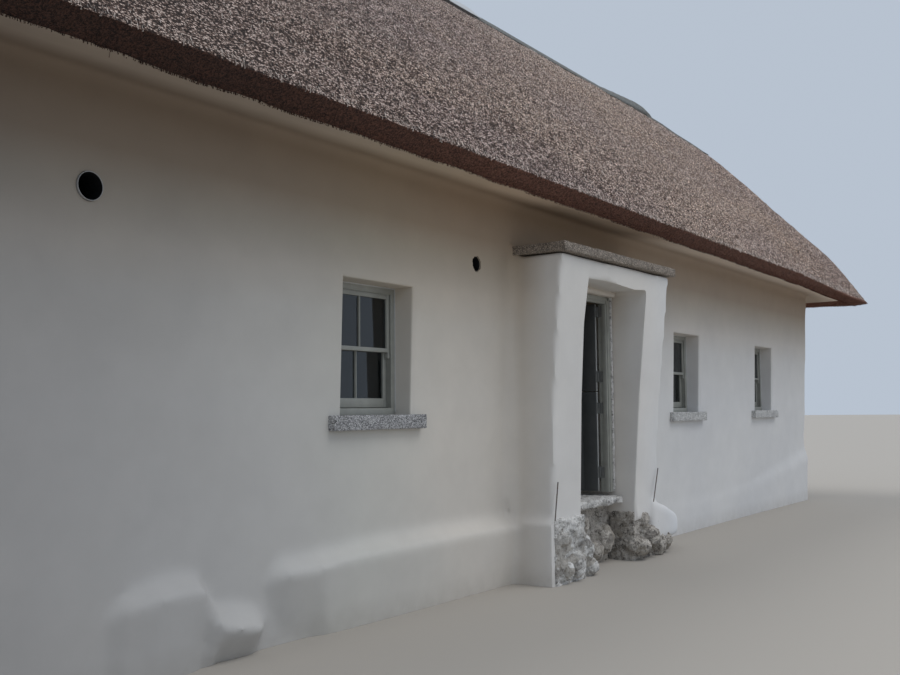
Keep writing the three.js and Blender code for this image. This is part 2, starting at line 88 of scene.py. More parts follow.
# The half door's leaves, their hinges and the line that they turn on
LEAVES = ("lower_leaf", "upper_leaf")
HINGE_ENDS = ("bottom", "top")
HINGE_X, HINGE_Y = 0.5, -2.584

# In front of this the porch's face and the doorway's mouth lean with each other
PORCH_FACE_START = -2.8

# Bores run right through the front wall. A rod with this turn lies along Y.
ALONG_Y = (math.pi / 2, 0, 0)
BORE_MIDDLE_Y = -2.3
BORE_LENGTH = 1.6

# Heights at which the parts that run into the ground are cut off
PLASTER_FOOT_Z = 0.0008
RUBBLE_FOOT_Z = 0.0005

# Reach of the painted light and shade along the house, from the left end to the right
HOUSE_SPAN = (-9.0, 9.0)

# Camera
CAMERA_AT = (-9.35, -7.5, 1.62)
CAMERA_HEADING = 34.935
CAMERA_PITCH = 4.1725
CAMERA_ROLL = -0.5458
CAMERA_LENS = 40
CAMERA_SENSOR = 36


# Hand tools

def deselect():
    bpy.ops.object.select_all(action="DESELECT")


def take(obj):
    deselect()
    obj.select_set(True)
    bpy.context.view_layer.objects.active = obj
    return obj


def settle(obj, name):
    """Puts a fresh primitive's place, turn and size in its mesh."""
    take(obj)
    bpy.ops.object.transform_apply(location=True, rotation=True, scale=True)
    obj.name = name
    obj.data.name = name
    return obj


def block(name, low, high):
    deselect()
    low, high = Vector(low), Vector(high)
    bpy.ops.mesh.primitive_cube_add(size=1, location=(low + high) / 2)
    bpy.context.object.scale = high - low
    return settle(bpy.context.object, name)


def boulder(name, centre, radii, turn=0.0):
    deselect()
    bpy.ops.mesh.primitive_ico_sphere_add(subdivisions=3, radius=1, location=centre, rotation=(0, 0, turn))
    bpy.context.object.scale = radii
    return settle(bpy.context.object, name)


def rod(name, centre, radius, length, turn=(0, 0, 0), sides=32, ends="NGON"):
    deselect()
    bpy.ops.mesh.primitive_cylinder_add(
        vertices=sides, radius=radius, depth=length, location=centre, rotation=turn, end_fill_type=ends)
    return settle(bpy.context.object, name)


def edit(obj):
    take(obj)
    bpy.ops.object.mode_set(mode="EDIT")
    bpy.ops.mesh.select_all(action="DESELECT")


def edit_all(obj):
    edit(obj)
    bpy.ops.mesh.select_all(action="SELECT")


def leave():
    bpy.ops.object.mode_set(mode="OBJECT")


def choose(obj, kind, test):
    """Selects what passes the test, in edit mode. kind is VERT, EDGE or FACE."""
    bpy.ops.mesh.select_mode(type=kind)
    bpy.ops.mesh.select_all(action="DESELECT")
    shape = bmesh.from_edit_mesh(obj.data)
    parts = {"VERT": shape.verts, "EDGE": shape.edges, "FACE": shape.faces}[kind]
    for part in parts:
        if test(part):
            part.select_set(True)
    shape.select_flush_mode()
    bmesh.update_edit_mesh(obj.data)


def push(obj, test, by):
    """Moves the points that pass a test, in edit mode."""
    choose(obj, "VERT", test)
    bpy.ops.transform.translate(value=by)


def push_all(obj, by):
    edit_all(obj)
    bpy.ops.transform.translate(value=by)
    leave()


def to_the_back(obj):
    """Mirrors a piece of a front window to the back wall."""
    edit_all(obj)
    bpy.ops.transform.mirror(constraint_axis=(False, True, False), center_override=(0, 0, 0))
    bpy.ops.mesh.flip_normals()
    leave()


def across(axis, place, way=1):
    """The plane across an axis at a place: a point on it and its normal, which looks that way along."""
    at, normal = [0, 0, 0], [0, 0, 0]
    at[axis], normal[axis] = place, way
    return at, normal


def slice_across(obj, at, normal, drop_outer=False, drop_inner=False):
    """Bisects a piece with a plane, and closes it where a side is dropped.

    The outer side is the one that the normal points to.
    """
    edit_all(obj)
    bpy.ops.mesh.bisect(
        plane_co=at, plane_no=normal, use_fill=drop_outer or drop_inner,
        clear_outer=drop_outer, clear_inner=drop_inner)
    leave()
    return obj


def work(obj, kind, **settings):
    """Adds a modifier, sets it and applies it."""
    take(obj)
    modifier = obj.modifiers.new(kind.lower(), kind)
    for key, value in settings.items():
        setattr(modifier, key, value)
    bpy.ops.object.modifier_apply(modifier=modifier.name)
    return obj


def carve(obj, cutter):
    work(obj, "BOOLEAN", operation="DIFFERENCE", object=cutter, solver="EXACT")
    bpy.data.objects.remove(cutter)
    return obj


def gather(pieces, name):
    deselect()
    for piece in pieces:
        piece.select_set(True)
    bpy.context.view_layer.objects.active = pieces[0]
    if len(pieces) > 1:
        bpy.ops.object.join()
    pieces[0].name = name
    pieces[0].data.name = name
    return pieces[0]


def copy_of(obj, name):
    made = obj.copy()
    made.data = obj.data.copy()
    bpy.context.scene.collection.objects.link(made)
    made.name = name
    made.data.name = name
    return made


def solid_copy(node, name):
    """A CAD node's shape as a mesh of its own, its doubles merged."""
    made = bpy.data.objects.new(name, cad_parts[node].data.copy())
    bpy.context.scene.collection.objects.link(made)
    edit_all(made)
    bpy.ops.mesh.remove_doubles(threshold=0.0002)
    leave()
    return made


def mass(obj, voxel):
    """Runs overlapping solids together into one skin."""
    return work(obj, "REMESH", mode="VOXEL", voxel_size=voxel, use_smooth_shade=True)


def soften(obj, times, group=""):
    return work(obj, "SMOOTH", factor=0.5, iterations=times, vertex_group=group)


def clouds(name, size, depth=2):
    texture = bpy.data.textures.new(name, "CLOUDS")
    texture.noise_scale = size
    texture.noise_depth = depth
    return texture


def roughen(obj, texture, amount, group=""):
    return work(
        obj, "DISPLACE", texture=texture, texture_coords="LOCAL", strength=amount, mid_level=0.5,
        vertex_group=group)


def mark(obj, name, test):
    """A vertex group of the points that pass a test."""
    group = obj.vertex_groups.new(name=name)
    group.add([v.index for v in obj.data.vertices if test(v.co)], 1.0, "REPLACE")


def weigh(obj, name, weight):
    """A vertex group whose share changes from place to place."""
    group = obj.vertex_groups.new(name=name)
    for v in obj.data.vertices:
        share = weight(v.co)
        if share > 0.001:
            group.add([v.index], share, "REPLACE")


def rise(value, low, high):
    """Eases from 0 at one value to 1 at another."""
    t = min(1, max(0, (value - low) / (high - low)))
    return t * t * (3 - 2 * t)


def thin_out(obj, ratio, group=""):
    return work(obj, "DECIMATE", decimate_type="COLLAPSE", ratio=ratio, vertex_group=group)


def chamfer(obj, width, segments=2, angle=30):
    return work(
        obj, "BEVEL", width=width, segments=segments, limit_method="ANGLE",
        angle_limit=math.radians(angle))


def smooth(obj, angle):
    take(obj)
    bpy.ops.object.shade_smooth_by_angle(angle=math.radians(angle))
    return obj


def dress(obj, finish, body="house", nodes=()):
    """Gives a finished piece its material and its body, and hides the CAD nodes that it stands for."""
    obj.data.materials.clear()
    obj.data.materials.append(finish)
    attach(obj, body)
    if nodes:
        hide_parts(*nodes)
    return obj


# Materials

class Finish:
    """A material whose patterns lie in the piece's own Object coordinates."""

    def __init__(self, name, roughness, colour=(0.5, 0.5, 0.5), metallic=0.0):
        self.made = bpy.data.materials.new(name)
        self.made.use_nodes = True
        self.tree = self.made.node_tree
        self.shader = self.tree.nodes["Principled BSDF"]
        self.shader.inputs["Roughness"].default_value = roughness
        self.shader.inputs["Metallic"].default_value = metallic
        self.shader.inputs["Base Color"].default_value = (*colour, 1)
        self.place = self.node("TexCoord")["Object"]

    def node(self, kind, feeds=None, **settings):
        """Adds a node, its sockets fed with values or with other nodes' outputs."""
        added = self.tree.nodes.new("ShaderNode" + kind)
        for key, value in settings.items():
            setattr(added, key, value)
        for socket, value in (feeds or {}).items():
            self.plug(value, added.inputs[socket])
        return added.outputs

    def plug(self, value, socket):
        if isinstance(value, (int, float)):
            socket.default_value = value
        elif isinstance(value, tuple):
            socket.default_value = (*value, 1)
        else:
            self.tree.links.new(value, socket)

    def mapped(self, scale, turn, kind):
        added = self.tree.nodes.new("ShaderNodeMapping")
        added.vector_type = kind
        added.inputs["Rotation"].default_value = turn
        added.inputs["Scale"].default_value = scale
        self.plug(self.place, added.inputs["Vector"])
        return added.outputs["Vector"]

    def stretched(self, scale):
        return self.mapped(scale, (0, 0, 0), "POINT")

    def laid_along(self, turn, longer):
        """Coordinates turned with a slope and drawn out down it."""
        return self.mapped(longer, turn, "TEXTURE")

    def noise(self, scale, detail=3.0, roughness=0.5, at=None, distortion=0.0):
        return self.node("TexNoise", {
            "Scale": scale, "Detail": detail, "Roughness": roughness, "Distortion": distortion,
            "Vector": at or self.place})["Fac"]

    def cells(self, scale, at=None, output="Distance", feature="F1"):
        return self.node("TexVoronoi", {"Scale": scale, "Vector": at or self.place}, feature=feature)[output]

    def per_cell(self, scale, at=None):
        """A shade of its own for every cell."""
        return self.node("SeparateColor", {0: self.cells(scale, at, output="Color")})[0]

    def along(self, axis, low, high):
        """From 0 at one place on an axis to 1 at another."""
        return self.span(self.node("SeparateXYZ", {0: self.place})[axis], low, high)

    def span(self, value, low, high):
        return self.node("MapRange", {"From Min": low, "From Max": high, "Value": value})["Result"]

    def sum(self, first, second, kind="ADD"):
        return self.node("Math", {0: first, 1: second}, operation=kind)[0]

    def product(self, first, second):
        return self.sum(first, second, "MULTIPLY")

    def ramp(self, value, *stops):
        added = self.tree.nodes.new("ShaderNodeValToRGB")
        points = added.color_ramp.elements
        while len(points) < len(stops):
            points.new(0.5)
        for point, (at, colour) in zip(points, stops):
            point.position = at
            point.color = (*colour, 1) if isinstance(colour, tuple) else (colour, colour, colour, 1)
        self.plug(value, added.inputs["Fac"])
        return added.outputs["Color"]

    def mix(self, share, first, second, kind="MIX"):
        feeds = {"Factor": share, 6: first, 7: second}
        return self.node("Mix", feeds, data_type="RGBA", blend_type=kind)[2]

    def tint(self, first, second):
        """One colour multiplied by another."""
        return self.mix(1.0, first, second, "MULTIPLY")

    def bump(self, height, distance, strength=1.0, under=None):
        feeds = {"Distance": distance, "Strength": strength, "Height": height}
        if under is not None:
            feeds["Normal"] = under
        return self.node("Bump", feeds)["Normal"]

    def colour(self, value):
        self.plug(value, self.shader.inputs["Base Color"])

    def relief(self, value):
        self.plug(value, self.shader.inputs["Normal"])

    def gloss(self, value):
        self.plug(value, self.shader.inputs["Roughness"])


def lime_plaster():
    """Hand-floated lime, with painted light and shade: darker and greyer at the left end and lighter and
    bluer at the right, painted shade in brown-grey along the wall's top under the eaves, and painted light on
    the porch's face and the soffit.
    """
    f = Finish("lime_plaster", 0.92)
    patches = f.ramp(f.noise(0.55, 2.0), (0.35, (0.60, 0.595, 0.585)), (0.65, (0.65, 0.64, 0.618)))
    mottle = f.ramp(f.noise(3.5, 5.0, 0.6), (0.3, 0.965), (0.7, 1.02))
    body = f.tint(patches, mottle)
    # Painted shade at the left end and painted light at the right: a ramp along the house, its edge broken a
    # little by noise.
    shade_ramp_place = f.sum(f.along("X", -9.0, 4.0), f.product(f.noise(0.7, 3.0), 0.10))
    painted_shade_and_light = f.ramp(
        shade_ramp_place, (0.10, (0.60, 0.59, 0.60)), (0.265, (0.68, 0.67, 0.67)), (0.33, (0.76, 0.755, 0.755)),
        (0.40, (0.875, 0.87, 0.86)), (0.47, (0.945, 0.94, 0.90)), (0.585, (1.05, 1.0, 0.935)),
        (0.79, (1.06, 1.0, 0.93)), (0.91, (1.10, 1.11, 1.13)), (1.0, (1.11, 1.12, 1.15)))
    # Painted shade under the eaves: the wall darkens and warms towards its top.
    wall = f.ramp(
        f.along("Z", 1.7, 3.7), (0.0, (1.0, 1.0, 1.0)), (0.33, (0.96, 0.945, 0.92)),
        (0.475, (0.91, 0.86, 0.80)), (0.62, (0.72, 0.655, 0.57)), (0.75, (0.56, 0.46, 0.365)),
        (1.0, (0.57, 0.445, 0.34)))
    # Painted light on what stands ahead of the wall, the porch's face and the soffit: brighter and bluer low
    # down, warmer higher up, and lighter than the shaded top of the wall.
    ahead = f.ramp(f.along("Z", 3.1, 3.5), (0.0, (1.09, 1.13, 1.19)), (1.0, (0.98, 0.835, 0.70)))
    top = f.mix(f.along("Y", -2.60, -2.92), wall, ahead)
    splash = f.product(f.product(f.along("Z", 0.20, 0.0), f.noise(9.0, 4.0)), 0.5)
    shaded = f.tint(f.tint(body, painted_shade_and_light), top)
    f.colour(f.mix(splash, shaded, (0.34, 0.31, 0.27)))
    float_marks = f.bump(f.noise(4.0, 3.0, 0.5, distortion=0.5), 0.005, 0.4)
    grain = f.bump(f.noise(170.0, 4.0, 0.6), 0.0012, 0.5, under=float_marks)
    f.relief(grain)
    return f.made


def reed_thatch(name, turn, longer):
    """Weathered reed butts: light ends, dark gaps of painted shade, and brown ones between, with painted
    shade towards the left end and painted light towards the right.
    """
    f = Finish(name, 1.0)
    laid = f.laid_along(turn, longer)
    shade = f.per_cell(92.0, at=laid)
    coarse = f.per_cell(44.0, at=laid)
    # Dark cell edges: painted shade in the gaps between the reed butts. The same pattern feeds the bump.
    edges = f.span(f.cells(92.0, at=laid), 0.78, 0.32)
    mixed = f.sum(f.product(shade, 0.58), f.product(coarse, 0.42))
    clumps = f.span(f.noise(14.0, 2.0, at=laid), -0.7, 0.92)
    grain = f.product(f.product(mixed, edges), clumps)
    tone = f.ramp(
        grain, (0.10, (0.016, 0.008, 0.005)), (0.24, (0.125, 0.085, 0.067)),
        (0.36, (0.40, 0.325, 0.285)), (0.50, (0.93, 0.85, 0.79)))
    bands = f.ramp(
        f.noise(0.9, 3.0, at=f.stretched((0.35, 1, 1))), (0.3, (0.90, 0.88, 0.91)), (0.7, (1.08, 1.04, 0.96)))
    # Painted shade at the left end and painted light towards the right, along the house.
    painted_light_along_house = f.ramp(
        f.along("X", *HOUSE_SPAN), (0.0, (0.66, 0.60, 0.59)), (0.2, (0.76, 0.69, 0.68)),
        (0.42, (1.05, 0.96, 0.94)), (0.72, (1.38, 1.26, 1.19)), (1.0, (1.30, 1.14, 1.04)))
    f.colour(f.tint(f.tint(tone, bands), painted_light_along_house))
    lumps = f.bump(f.noise(20.0, 3.0, 0.6, at=laid), 0.008, 0.4)
    f.relief(f.bump(grain, 0.010, 1.0, under=lumps))
    return f.made


def cut_reed_ends():
    """Straw-grey reed butts, each a little lighter or darker than the next."""
    f = Finish("cut_reed_ends", 1.0)
    tone = f.ramp(
        f.node("Attribute", attribute_name="shade")["Fac"],
        (0.0, (0.03, 0.021, 0.016)), (0.35, (0.24, 0.19, 0.165)), (1.0, (0.92, 0.81, 0.73)))
    # Painted shade at the left end and painted light at the right.
    painted_light_along_house = f.ramp(f.along("X", *HOUSE_SPAN), (0.0, 0.85), (0.45, 1.0), (1.0, 1.2))
    f.colour(f.tint(tone, painted_light_along_house))
    f.relief(f.bump(f.noise(400.0, 2.0), 0.002, 0.6))
    return f.made


def shaded_reed():
    """The underside of the eaves, where the reed is cut across: its own red-brown, painted dark as shade, and
    darker still at the left end and lighter towards the right.
    """
    f = Finish("shaded_reed", 1.0)
    speck = f.sum(f.product(f.cells(120.0), f.per_cell(120.0)), f.noise(40.0, 4.0, 0.7))
    tone = f.ramp(
        speck, (0.35, (0.016, 0.006, 0.004)), (0.6, (0.064, 0.026, 0.017)), (1.0, (0.23, 0.10, 0.065)))
    # Painted shade at the left end and painted light towards the right.
    painted_light_along_eaves = f.ramp(
        f.along("X", *HOUSE_SPAN), (0.0, 0.25), (0.20, 0.45), (0.36, 1.15), (0.63, 1.1), (1.0, 1.5))
    f.colour(f.tint(tone, painted_light_along_eaves))
    f.relief(f.bump(speck, 0.012, 1.0, under=f.bump(f.noise(12.0, 4.0), 0.02)))
    return f.made


def ridge_netting():
    """Grey-green reed laid along the ridge under fine netting."""
    f = Finish("ridge_netting", 0.9)
    reed = f.noise(90.0, 4.0, 0.65, at=f.stretched((0.18, 1.0, 1.0)))
    tone = f.ramp(
        reed, (0.32, (0.050, 0.054, 0.054)), (0.5, (0.145, 0.155, 0.155)), (0.68, (0.29, 0.305, 0.31)))
    f.colour(f.mix(f.product(f.noise(2.0, 3.0), 0.6), tone, (0.155, 0.150, 0.125)))
    net = f.cells(34.0, output="Distance", feature="DISTANCE_TO_EDGE")
    f.relief(f.bump(f.sum(net, 0.06, "LESS_THAN"), 0.003, 0.5, under=f.bump(reed, 0.008)))
    return f.made


def granite(name, light, dark, crystal, sparkle):
    """Crystals of three shades under a punched face."""
    f = Finish(name, 0.82)
    bright = tuple(min(0.95, c * sparkle) for c in light)
    tone = f.ramp(
        f.per_cell(crystal), (0.0, dark), (0.25, dark), (0.42, light), (0.72, light), (0.88, bright))
    worn = f.tint(tone, f.ramp(f.noise(14.0, 4.0), (0.3, 0.85), (0.7, 1.1)))
    f.colour(worn)
    f.relief(f.bump(f.per_cell(crystal), 0.0015, 0.6, under=f.bump(f.noise(60.0, 5.0, 0.7), 0.005, 0.7)))
    return f.made


def grey_paint(name, colour):
    """Brushed satin paint with faint brush lines and dust in its colour."""
    f = Finish(name, 0.48)
    strokes = f.noise(160.0, 2.0, at=f.stretched((1.0, 1.0, 0.06)))
    dust = f.ramp(f.noise(7.0, 5.0, 0.6), (0.35, 0.88), (0.7, 1.08))
    f.colour(f.tint(colour, dust))
    f.gloss(f.span(f.noise(25.0, 3.0), -0.6, 1.9))
    f.relief(f.bump(strokes, 0.0006, 0.5))
    return f.made


def window_glass():
    # The grey-blue tint darkens the room seen through the panes: painted shade.
    f = Finish("window_glass", 0.02, (0.26, 0.30, 0.33))
    f.shader.inputs["Transmission Weight"].default_value = 1.0
    f.shader.inputs["IOR"].default_value = 1.5
    f.relief(f.bump(f.noise(2.2, 1.0), 0.003, 0.4))
    return f.made


def rubble(name, light, dark):
    """Lime mortar crust over field stone, with dark pits."""
    f = Finish(name, 0.97)
    grit = f.noise(60.0, 5.0, 0.7)
    pits = f.noise(17.0, 5.0, 0.7)
    worn = f.sum(f.product(grit, 0.45), f.product(pits, 0.55))
    crust = f.ramp(
        worn, (0.40, dark), (0.45, tuple(a * 0.5 + b * 0.5 for a, b in zip(light, dark))),
        (0.52, light), (0.66, tuple(min(0.9, a * 1.2) for a in light)))
    stone = f.per_cell(8.0, at=f.stretched((1, 1, 1.6)))
    bare = f.product(f.product(f.span(stone, 0.55, 0.65), 0.6), f.along("Z", 0.60, 0.35))
    f.colour(f.mix(bare, crust, f.ramp(
        stone, (0.5, (0.20, 0.175, 0.145)), (0.75, (0.30, 0.265, 0.215)), (1.0, (0.12, 0.11, 0.105)))))
    f.relief(f.bump(grit, 0.008, 0.9, under=f.bump(pits, 0.020, 1.0)))
    return f.made


def concrete():
    f = Finish("floated_concrete", 0.85)
    f.colour(f.ramp(f.noise(2.5, 6.0, 0.6), (0.3, (0.25, 0.24, 0.225)), (0.7, (0.36, 0.345, 0.32))))
    f.relief(f.bump(f.noise(60.0, 4.0), 0.003, 0.5))
    return f.made


def dull_steel(name, colour, metallic, rust=0.0):
    f = Finish(name, 0.45, metallic=metallic)
    blotch = f.ramp(f.noise(70.0, 4.0, 0.6), (0.45, 0.0), (0.65, 1.0))
    f.colour(f.mix(f.product(blotch, rust), colour, (0.16, 0.075, 0.04)))
    f.gloss(f.span(f.noise(45.0, 3.0), -0.4, 1.5))
    f.relief(f.bump(f.noise(120.0, 2.0), 0.0008, 0.5))
    return f.made


def sawn_board(name, colour):
    f = Finish(name, 0.9)
    grain = f.noise(40.0, 4.0, 0.6, at=f.stretched((0.05, 1, 1)), distortion=1.5)
    f.colour(f.mix(grain, tuple(c * 0.55 for c in colour), colour))
    f.relief(f.bump(grain, 0.002, 0.8))
    return f.made


# Studio

def build_camera():
    data = bpy.data.cameras.new("camera")
    data.lens = CAMERA_LENS
    data.sensor_width = CAMERA_SENSOR
    data.sensor_fit = "HORIZONTAL"
    data.clip_start = 0.05
    data.clip_end = 300
    camera = bpy.data.objects.new("camera", data)
    bpy.context.scene.collection.objects.link(camera)
    heading = Matrix.Rotation(math.radians(CAMERA_HEADING - 90), 4, "Z")
    pitch = Matrix.Rotation(math.radians(90 + CAMERA_PITCH), 4, "X")
    roll = Matrix.Rotation(math.radians(CAMERA_ROLL), 4, "Z")
    camera.matrix_world = Matrix.Translation(CAMERA_AT) @ heading @ pitch @ roll
    bpy.context.scene.camera = camera


def build_studio():
    """An even overcast sky, a wide soft sun over the front and a weaker one over the back."""
    deselect()
    bpy.ops.mesh.primitive_plane_add(size=400, location=(0, 0, 0))
    floor = settle(bpy.context.object, "studio_floor")
    floor.data.materials.append(Finish("studio_floor", 0.95, (0.42, 0.39, 0.35)).made)

    world = bpy.data.worlds.new("overcast")
    world.use_nodes = True
    back = world.node_tree.nodes["Background"]
    back.inputs["Color"].default_value = (0.76, 0.86, 1.0, 1)
    back.inputs["Strength"].default_value = 0.63
    bpy.context.scene.world = world

    soft_sun("key_sun", (0.12, -0.45, 0.88), 1.0, (1.0, 0.97, 0.93))
    soft_sun("rear_sun", (-0.2, 0.45, 0.85), 0.8, (1.0, 0.98, 0.95))

    bpy.context.scene.view_settings.view_transform = "Standard"
    bpy.context.scene.view_settings.look = "None"


def soft_sun(name, towards, strength, colour):
    data = bpy.data.lights.new(name, "SUN")
    data.energy = strength
    data.color = colour
    data.angle = math.radians(40)
    lamp = bpy.data.objects.new(name, data)
    bpy.context.scene.collection.objects.link(lamp)
    lamp.rotation_euler = Vector(towards).to_track_quat("Z", "Y").to_euler()


# Plaster: one skin over walls, soffit and porch, cut apart at two seams and where the room ends

# Ledges over the footing stones, as (x, height of the outer arris, how far it stands out,
# how far its foot stands out, height where the ledge leaves the wall)
FRONT_LEDGES = [
    [(-5.66, 0.40, 0.00, 0.00, 0.44), (-5.53, 0.47, 0.08, 0.03, 0.54), (-5.33, 0.50, 0.13, 0.05, 0.61),
     (-5.13, 0.51, 0.14, 0.05, 0.63), (-5.00, 0.505, 0.14, 0.02, 0.61), (-4.92, 0.37, 0.13, -0.05, 0.50),
     (-4.84, 0.24, 0.15, -0.14, 0.40), (-4.70, 0.215, 0.17, -0.16, 0.38), (-4.53, 0.19, 0.16, -0.16, 0.34),
     (-4.44, 0.18, 0.10, -0.16, 0.29), (-4.37, 0.17, 0.00, -0.10, 0.22)],
    [(-4.38, 0.43, 0.00, -0.10, 0.50), (-4.31, 0.475, 0.06, -0.12, 0.57), (-4.22, 0.50, 0.11, -0.13, 0.605),
     (-3.93, 0.50, 0.13, -0.09, 0.605), (-3.67, 0.525, 0.135, 0.02, 0.62), (-3.21, 0.53, 0.14, 0.05, 0.635),
     (-2.66, 0.53, 0.14, 0.06, 0.65), (-2.18, 0.535, 0.14, 0.065, 0.65), (-1.10, 0.53, 0.14, 0.07, 0.64)],
    [(1.1, 0.30, 0.02, 0.02, 0.45), (4.2, 0.36, 0.01, 0.02, 0.52), (5.9, 0.42, 0.02, 0.02, 0.60),
     (6.8, 0.50, 0.035, 0.03, 0.74), (7.8, 0.60, 0.04, 0.04, 0.90), (8.78, 0.74, 0.06, 0.05, 1.05)],
]
BACK_LEDGES = [
    [(-8.78, 0.70, 0.05, 0.05, 0.95), (-7.4, 0.50, 0.03, 0.04, 0.70), (-5.2, 0.52, 0.08, 0.05, 0.66),
     (-3.0, 0.46, 0.04, 0.04, 0.62), (-0.8, 0.52, 0.07, 0.04, 0.66), (1.5, 0.44, 0.03, 0.04, 0.60),
     (4.2, 0.52, 0.08, 0.05, 0.66), (6.6, 0.46, 0.03, 0.04, 0.66), (8.78, 0.70, 0.05, 0.05, 0.95)],
]
END_LEDGES = [
    [(-2.46, 0.74, 0.05, 0.05, 1.0), (-1.4, 0.54, 0.03, 0.04, 0.74), (0.2, 0.56, 0.05, 0.04, 0.76),
     (1.5, 0.52, 0.03, 0.04, 0.72), (2.46, 0.74, 0.05, 0.05, 1.0)],
]
SIDES = (
    ("front", 0, WALL_HALF_DEPTH, FRONT_LEDGES),
    ("right", 90, WALL_HALF_LENGTH, END_LEDGES),
    ("back", 180, WALL_HALF_DEPTH, BACK_LEDGES),
    ("left", 270, WALL_HALF_LENGTH, END_LEDGES),
)


def lean_at(z):
    """How far the face stands back at a height, against the wall's top."""
    return WALL_LEAN * (SOFFIT_Z - z)


def plaster_walls():
    wall = block(
        "walls", (-WALL_HALF_LENGTH, -WALL_HALF_DEPTH, BURIED_Z),
        (WALL_HALF_LENGTH, WALL_HALF_DEPTH, WALL_TOP_Z))
    slice_across(wall, *across(2, SOFFIT_Z))
    edit(wall)
    choose(wall, "VERT", lambda v: v.co.z < 0)
    inward = lean_at(BURIED_Z)
    bpy.ops.transform.resize(
        value=(1 - inward / WALL_HALF_LENGTH, 1 - inward / WALL_HALF_DEPTH, 1), center_override=(0, 0, 0))
    leave()
    return wall


def plaster_soffit():
    """A sloping collar that runs out from the wall head and ends inside the thatch."""
    length, depth = WALL_HALF_LENGTH - 0.02, WALL_HALF_DEPTH - 0.02
    collar = block("soffit", (-length, -depth, SOFFIT_Z), (length, depth, SOFFIT_Z + 0.08))
    edit(collar)
    choose(collar, "FACE", lambda f: abs(f.normal.z) < 0.5)
    bpy.ops.mesh.extrude_region_shrink_fatten(TRANSFORM_OT_shrink_fatten={"value": 0.0})
    far_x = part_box("soffit_right_end")[1].x
    bpy.ops.transform.resize(value=(far_x / length, EAVES_EDGE_V / depth, 1), center_override=(0, 0, 0))
    bpy.ops.transform.translate(value=(0, 0, EAVES_EDGE_Z - SOFFIT_Z))
    leave()
    return collar


def follow_porch_face(obj, levels):
    """Leans the front of a piece to the porch's uneven face."""
    edit(obj)
    for z, left, right in levels:
        for side, front in ((-1, left), (1, right)):
            push(
                obj, lambda v: abs(v.co.z - z) < 0.03 and v.co.x * side > 0 and v.co.y < PORCH_FACE_START,
                (0, PORCH_FRONT_LEFT[0] - front, 0))
    leave()


def plaster_porch():
    """Two cheeks and a head that lean out."""
    porch = block("porch", (-PORCH_HALF, -PORCH_FRONT_LEFT[0], 0.42), (PORCH_HALF, -2.3, PORCH_TOP_Z))
    for z in PORCH_LEVELS[:-1]:
        slice_across(porch, *across(2, z))
    follow_porch_face(porch, zip(PORCH_LEVELS, PORCH_FRONT_LEFT, PORCH_FRONT_RIGHT))
    return porch


def plaster_toes():
    """The skin that runs down over the porch footings, and the coves beside the porch."""
    skin = block("left_skin", (-1.243, -2.950, BURIED_Z), (-1.13, -2.3, 0.56))
    edit(skin)
    push(skin, lambda v: v.co.z > 0 and v.co.x > -1.2, (0, 0, 0.13))
    leave()
    lobe = block("right_lobe", (1.0, -2.97, 0.16), (1.96, -2.35, 0.62))
    slice_across(lobe, *across(0, 1.4))
    slice_across(lobe, *across(0, 1.75))
    edit(lobe)
    for x, drop, back in ((1.4, -0.09, 0.0), (1.75, -0.20, 0.03), (1.96, -0.36, 0.16)):
        push(lobe, lambda v: abs(v.co.x - x) < 0.01 and v.co.z > 0.3, (0, 0, drop))
        push(lobe, lambda v: abs(v.co.x - x) < 0.01 and v.co.y < -2.9, (0, back, 0))
    leave()
    chamfer(lobe, 0.08, 4)
    lump = boulder("threshold_lump", (0.565, -2.80, 0.75), (0.085, 0.10, 0.11))
    coves = []
    for end in (-1, 1):
        cove = block("cove", (-0.06, -0.045, 0.45), (0.06, 0.10, PORCH_TOP_Z + 0.10))
        slice_across(cove, *across(2, 2.6))
        edit(cove)
        push(cove, lambda v: v.co.z > 3 and v.co.y < 0, (0, -0.035, 0))
        leave()
        cove.rotation_euler.z = math.radians(end * 45)
        cove.location = (end * 1.175, -2.515, 0)
        coves.append(settle(cove, "cove"))
    return [skin, lobe, lump, *coves]


def ledge(name, half, stations):
    """A ledge that slopes out from a wall's foot, drawn from station to station."""
    first, last = stations[0], stations[-1]
    made = block(name, (first[0], -half - 0.1, BURIED_Z), (last[0], -half + 0.12, 0.7))
    for x, *_ in stations[1:-1]:
        slice_across(made, *across(0, x))
    edit(made)
    for x, arris, out, foot_out, root in stations:
        moves = (
            (lambda v: v.co.z > 0 and v.co.y < -half, arris - 0.7, 0.1 - out + lean_at(arris)),
            (lambda v: v.co.z > 0 and v.co.y > -half, root - 0.7, 0),
            (lambda v: v.co.z < 0 and v.co.y < -half, 0, 0.1 - foot_out + lean_at(0)),
        )
        shape = bmesh.from_edit_mesh(made.data)
        station = [v for v in shape.verts if abs(v.co.x - x) < 0.001]
        chosen = [[v.index for v in station if test(v)] for test, _, _ in moves]
        for i, (_, up, back) in enumerate(moves):
            push(made, lambda v: v.index in chosen[i], (0, back, up))
    leave()
    return made


def footing_ledges():
    made = []
    for side, turn, half, ledges in SIDES:
        for stations in ledges:
            piece = ledge(side + "_ledge", half, stations)
            piece.rotation_euler.z = math.radians(turn)
            made.append(settle(piece, side + "_ledge"))
    return made


